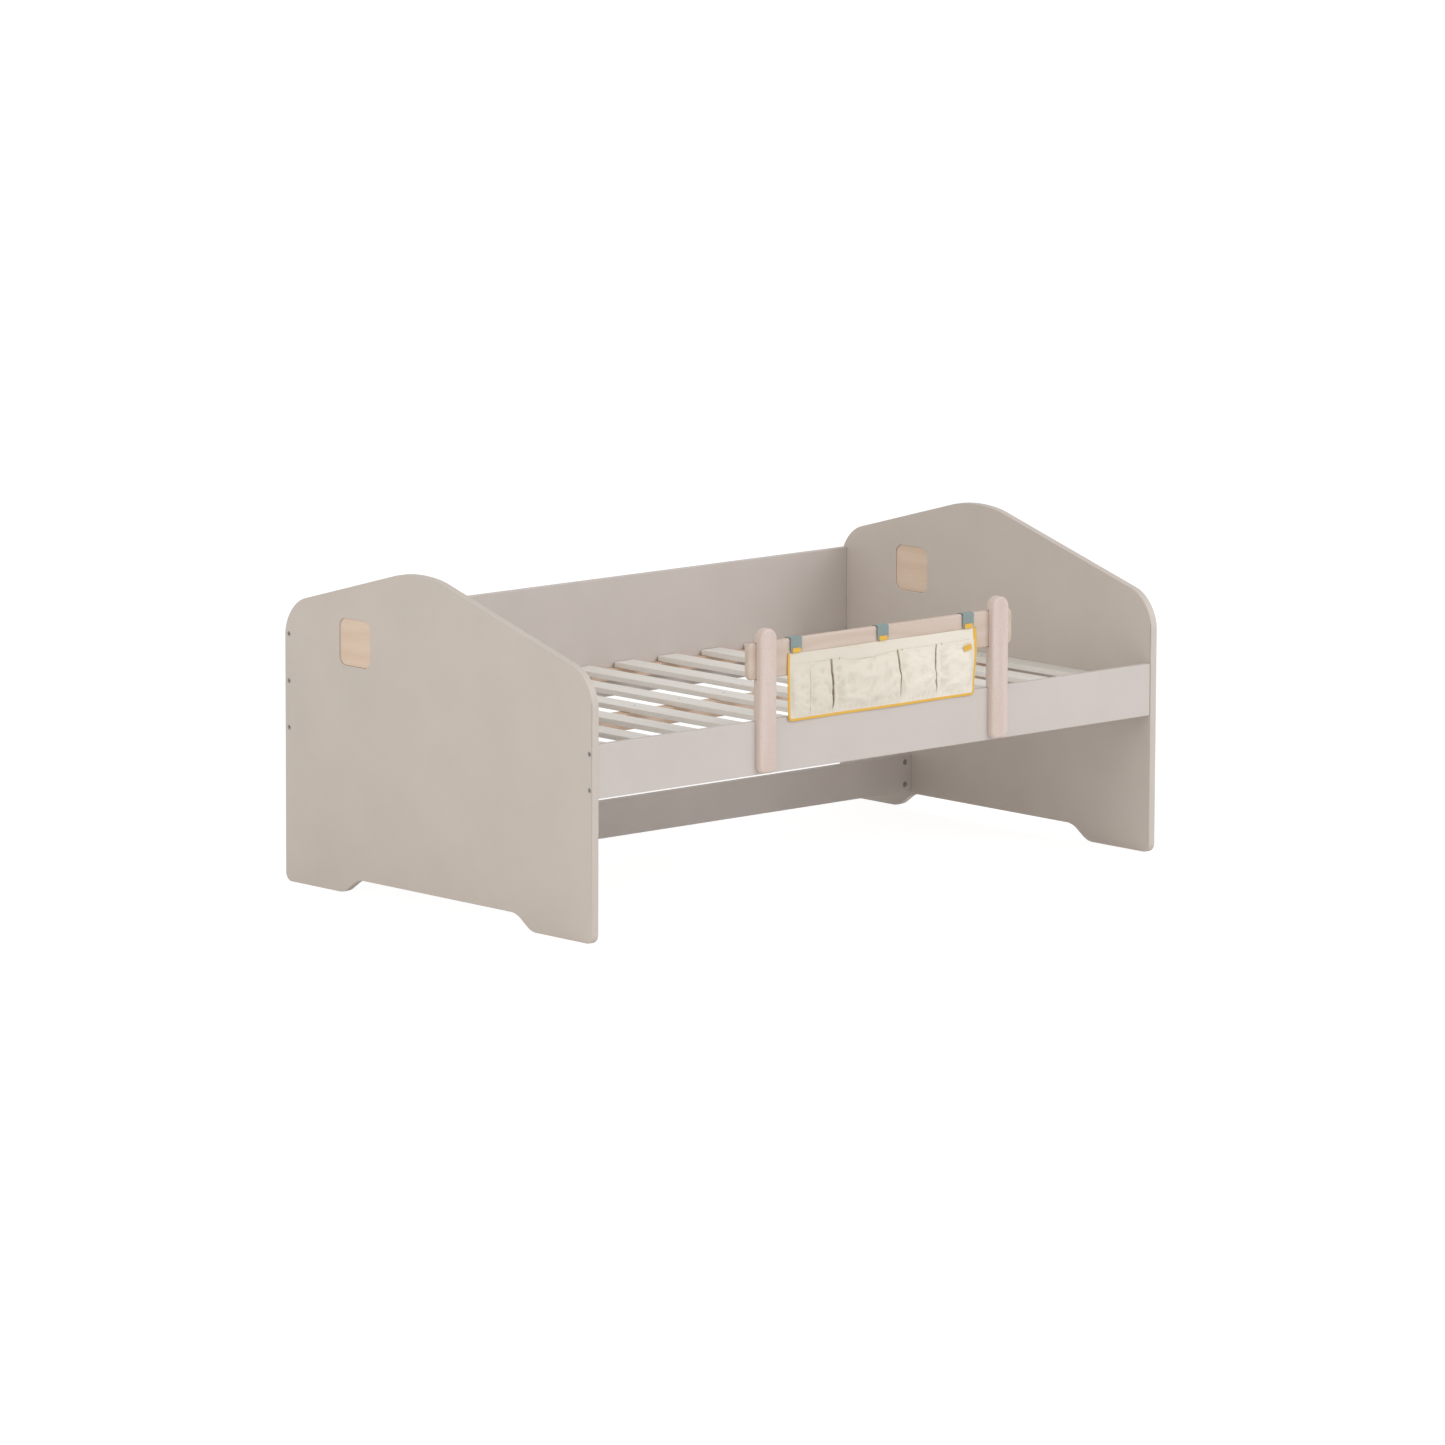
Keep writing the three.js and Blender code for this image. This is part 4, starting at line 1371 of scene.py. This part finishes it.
def makeStrap(node):
    # up the board's front, over its top and down behind it, as (y, z)
    low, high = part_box(node)
    centre, half = (low.x + high.x) / 2, (high.x - low.x) / 2
    r = strapLook["corner"]
    frontY, backY = low.y + strapLook["thickness"] / 2, high.y - strapLook["thickness"] / 2
    topZ = high.z - strapLook["thickness"] / 2
    turns = [quarter * i / 4 for i in range(1, 5)]
    points = [(frontY, strapLook["frontEnd"]), (frontY, topZ - r)]
    points += [(frontY + r * (1 - math.cos(a)), topZ - r * (1 - math.sin(a))) for a in turns]
    points += [(backY - r, topZ)]
    points += [(backY - r * (1 - math.sin(a)), topZ - r * (1 - math.cos(a))) for a in turns]
    points += [(backY, low.z)]
    path = evenPath(points, strapLook["step"])
    rows = len(path) - 1
    strap = standGrid(node + "_web", 14, rows)

    def where(u, v):
        # the front end's corners are drawn in, and the web bows a little across
        spot = path[round(v * rows)]
        side = 2 * u - 1
        atFront = spot.x < frontY + mm
        near = smoothStep(spot.y, strapLook["frontEnd"] + 5 * mm, strapLook["frontEnd"]) if atFront else 0
        bow = 0.4 * mm * (1 - side * side) if atFront else 0
        return Vector((centre + half * side * (1 - 0.14 * near * abs(side)), spot.x - bow, spot.y))

    layOut(strap, where, 2 * half, sum((b - a).length for a, b in zip(path, path[1:])))
    useModifier(strap, "SOLIDIFY", thickness=strapLook["thickness"], offset=0)
    shadeSmooth(strap, 45)
    putOn(strap, "organizer", "grey_green_webbing", webbing, node)
    # the folded tab at the strap's front end
    face = frontY - strapLook["thickness"] / 2
    front = face - strapLook["tabThick"]
    tab = roundedBlock(
        node.replace("strap", "tab"),
        (centre - strapLook["tabHalf"], front, strapLook["frontEnd"] - strapLook["tabDrop"]),
        (centre + strapLook["tabHalf"], face - 0.1 * mm, strapLook["frontEnd"] + strapLook["tabRise"]),
        1, strapLook["tabCorner"], 6,
    )
    openEdit(tab)
    softenRims(tab, 1, (front,), 0.9 * mm, 3)
    closeEdit()
    smoothHard(tab, 50)
    putOn(tab, "organizer", "mustard_tape", mustard)
    return strap, tab


straps = [makeStrap(node) for node in ("left_strap", "middle_strap", "right_strap")]

tagMiddle = centreOf("organizer_tag")
tagY = min(
    stripFace(x, z)
    for x in [tagMiddle.x + 4 * mm * step for step in range(-4, 5)]
    for z in [tagMiddle.z + 4 * mm * step for step in range(-3, 4)]
)
tagHalf = Vector(strapLook["tagHalf"])
tag = roundedBlock("organizer_tag_patch", -tagHalf, tagHalf, 1, 1.2 * mm, 3)
tag.rotation_euler = (0, strapLook["tagTurn"], 0)
tag.location = (tagMiddle.x, tagY - organizer["pocketThickness"] / 2 - 0.6 * mm, tagMiddle.z)
settle(tag)
smoothHard(tag)
putOn(tag, "organizer", "mustard_tape", mustard, "organizer_tag")
print("straps, tabs and the tag are made")

# Sewing

stitch = {
    "length": 3.2 * mm,
    "thick": 0.34 * mm,
    "dive": 0.35 * mm,
    "bindingPitch": 4.6 * mm,
    "seamPitch": 3.6 * mm,
    "tackPitch": 5.2 * mm,
    "mouthPitch": 4.2 * mm,
    "outside": 1.4 * mm,
}


def makeStitches(name, spots, material, slotName, size=1.0):
    # one small stitch is modelled, and laid at each (place, direction) into one piece
    bpy.ops.object.select_all(action="DESELECT")
    bpy.ops.mesh.primitive_uv_sphere_add(segments=6, ring_count=5, radius=1)
    pattern = bpy.context.active_object
    pattern.rotation_euler = (0, quarter, 0)
    pattern.scale = (stitch["thick"] * size, stitch["thick"] * size, stitch["length"] / 2)
    settle(pattern)
    for vert in pattern.data.vertices:
        # the ends dive into the cloth
        vert.co.y += stitch["dive"] * (abs(vert.co.x) / (stitch["length"] / 2)) ** 3
    row = bmesh.new()
    for spot, way in spots:
        before = len(row.verts)
        row.from_mesh(pattern.data)
        row.verts.ensure_lookup_table()
        onward = Vector(way).normalized()
        outward = Vector((0, 1, 0))
        across = onward.cross(outward)
        for vert in row.verts[before:]:
            x, y, z = vert.co
            vert.co = Vector(spot) + onward * x + outward * y + across * z
    bpy.data.objects.remove(pattern)
    mesh = bpy.data.meshes.new(name)
    row.to_mesh(mesh)
    row.free()
    piece = bpy.data.objects.new(name, mesh)
    bpy.context.scene.collection.objects.link(piece)
    faceOutward(piece)
    bpy.ops.object.shade_smooth()
    return putOn(piece, "organizer", slotName, material)


def walk(points, pitch):
    # (place, direction) pairs a pitch apart along a broken line of (x, z) places
    spots, left = [], pitch / 2
    for (x0, z0), (x1, z1) in zip(points, points[1:]):
        length = math.hypot(x1 - x0, z1 - z0)
        way = ((x1 - x0) / length, (z1 - z0) / length)
        while left <= length:
            spots.append(((x0 + way[0] * left, z0 + way[1] * left), way))
            left += pitch
        left -= length
    return spots


def onBinding(points):
    spots = []
    for (x, z), (wayX, wayZ) in walk(points, stitch["bindingPitch"]):
        y = backFace(x, z) - organizer["bindingThick"] * 0.93 - 0.2 * mm
        spots.append(((x + sheetSide(x, z), y, z), (wayX, 0, wayZ)))
    return spots


def onStrip(points, pitch, lift=0.0):
    spots = []
    for (x, z), (wayX, wayZ) in walk(points, pitch):
        y = stripFace(x, z) - organizer["pocketThickness"] / 2 - lift
        spots.append(((x + sheetSide(x, z), y, z), (wayX, 0, wayZ)))
    return spots


sewnIn = organizer["bindingInset"] + stitch["outside"]
edgeX, edgeTop, edgeBottom = bindingHigh.x - sewnIn, bindingHigh.z - 4 * mm, bindingLow.z + sewnIn
bindingRun = [(-edgeX, edgeTop), (-edgeX, edgeBottom), (edgeX, edgeBottom), (edgeX, edgeTop)]
bindingStitches = makeStitches("binding_stitches", onBinding(bindingRun), goldThread, "mustard_tape", 0.9)
seamX, seamTop = organizer["seamX"], organizer["seamTop"]
seamSpots = onStrip([(seamX, seamTop - 7 * mm), (seamX, stripLow.z + 6 * mm)], stitch["seamPitch"])
for z in (seamTop - 3 * mm, seamTop + 3.5 * mm):
    seamSpots += onStrip([(seamX - 17 * mm, z), (seamX + 17 * mm, z)], stitch["seamPitch"])
tackSpots = []
for crease in creases:
    tackX = crease["tack"] * mm
    seamSpots += onStrip([(tackX, seamTop - 5 * mm), (tackX, stripLow.z + 6 * mm)], stitch["tackPitch"])
    for step in range(5):
        height = stripHigh.z - 3.5 * mm + 0.9 * mm * step
        tackSpots += onStrip([(tackX - 2 * mm, height), (tackX + 2 * mm, height)], 4 * mm, 0.3 * mm)
pocketStitches = makeStitches("pocket_stitches", seamSpots, creamThread, "canvas", 0.8)
pocketTacks = makeStitches("pocket_tacks", tackSpots, brownThread, "canvas", 1.2)
mouthSpots = []
for pocket in pockets:
    start, end = pocket["from"] * mm + 3 * mm, pocket["to"] * mm - 3 * mm
    mouthX = [start + (end - start) * i / 40 for i in range(41)]
    mouthSpots += onStrip([(x, stripHigh.z - mouthSag(x) - 7 * mm) for x in mouthX], stitch["mouthPitch"])
mouthStitches = makeStitches("mouth_stitches", mouthSpots, creamThread, "canvas", 0.8)
print("the sewing is made")

# Floor, light and camera

studio = {
    "floorAsSeen": 0.2,
    "floorAsLight": 0.9,
    "floorGlow": 0.885,
    "world": 0.69,
    "worldColour": (1.0, 0.985, 0.965, 1.0),
}
keyLight = {
    "place": (5.6, -9.8, 7.7), "aim": (0, 0, 0.4), "size": 7.0, "power": 595.0, "colour": (0.97, 0.98, 1.0),
}
fillLight = {
    "place": (-10.0, -2.5, 4.8), "aim": (0, 0, 0.5), "size": 6.5, "power": 240.0, "colour": (1.0, 0.96, 0.9),
}
bpy.ops.object.select_all(action="DESELECT")
bpy.ops.mesh.primitive_plane_add(size=400, location=(0, 0, floorLevel - 0.0002))
floor = named(bpy.context.active_object, "floor")
floorMaterial, floorTree, floorShader, _ = startMaterial("paleFloor")
floorShader["Roughness"].default_value = 0.9
floorShader["Emission Color"].default_value = (1.0, 1.0, 1.0, 1.0)
# the floor glows only where it is seen directly, so that it looks white and throws its usual light upwards
seen = floorTree.nodes.new("ShaderNodeLightPath").outputs["Is Camera Ray"]
shownShare = spread(floorTree, seen, 0.0, 1.0, studio["floorAsLight"], studio["floorAsSeen"])
link(floorTree, shownShare, floorShader["Base Color"])
link(floorTree, calc(floorTree, "MULTIPLY", seen, studio["floorGlow"]), floorShader["Emission Strength"])
floor.data.materials.append(floorMaterial)


def addSoftLight(name, look):
    lamp = bpy.data.lights.new(name, "AREA")
    lamp.shape = "SQUARE"
    lamp.size = look["size"]
    lamp.energy = look["power"]
    lamp.color = look["colour"]
    holder = bpy.data.objects.new(name, lamp)
    bpy.context.scene.collection.objects.link(holder)
    holder.location = look["place"]
    way = Vector(look["aim"]) - holder.location
    holder.rotation_euler = way.to_track_quat("-Z", "Y").to_euler()


addSoftLight("keyLight", keyLight)
addSoftLight("fillLight", fillLight)
world = bpy.data.worlds.new("studioWorld")
bpy.context.scene.world = world
world.use_nodes = True
world.node_tree.nodes["Background"].inputs["Color"].default_value = studio["worldColour"]
world.node_tree.nodes["Background"].inputs["Strength"].default_value = studio["world"]
bpy.context.scene.view_settings.view_transform = "Standard"

# The camera stands far back with a long lens, a little to the left and above
camera = {
    "place": (-17.2969, -18.8338, 4.6526),
    "forward": (0.66692, 0.72683, -0.1641),
    "up": (0.10797, 0.12364, 0.98643),
    "lens": 236.68,
    "sensor": 36.0,
}
lens = bpy.data.cameras.new("studioCamera")
lens.lens = camera["lens"]
lens.sensor_width = camera["sensor"]
lens.clip_start = 0.5
lens.clip_end = 900
viewer = bpy.data.objects.new("studioCamera", lens)
bpy.context.scene.collection.objects.link(viewer)
viewer.location = camera["place"]
back = -Vector(camera["forward"]).normalized()
right = Vector(camera["up"]).cross(back).normalized()
up = back.cross(right)
turn = [[right[k], up[k], back[k]] for k in range(3)]
viewer.rotation_euler = Matrix(turn).to_euler()
bpy.context.scene.camera = viewer
print("floor, light and camera are set")
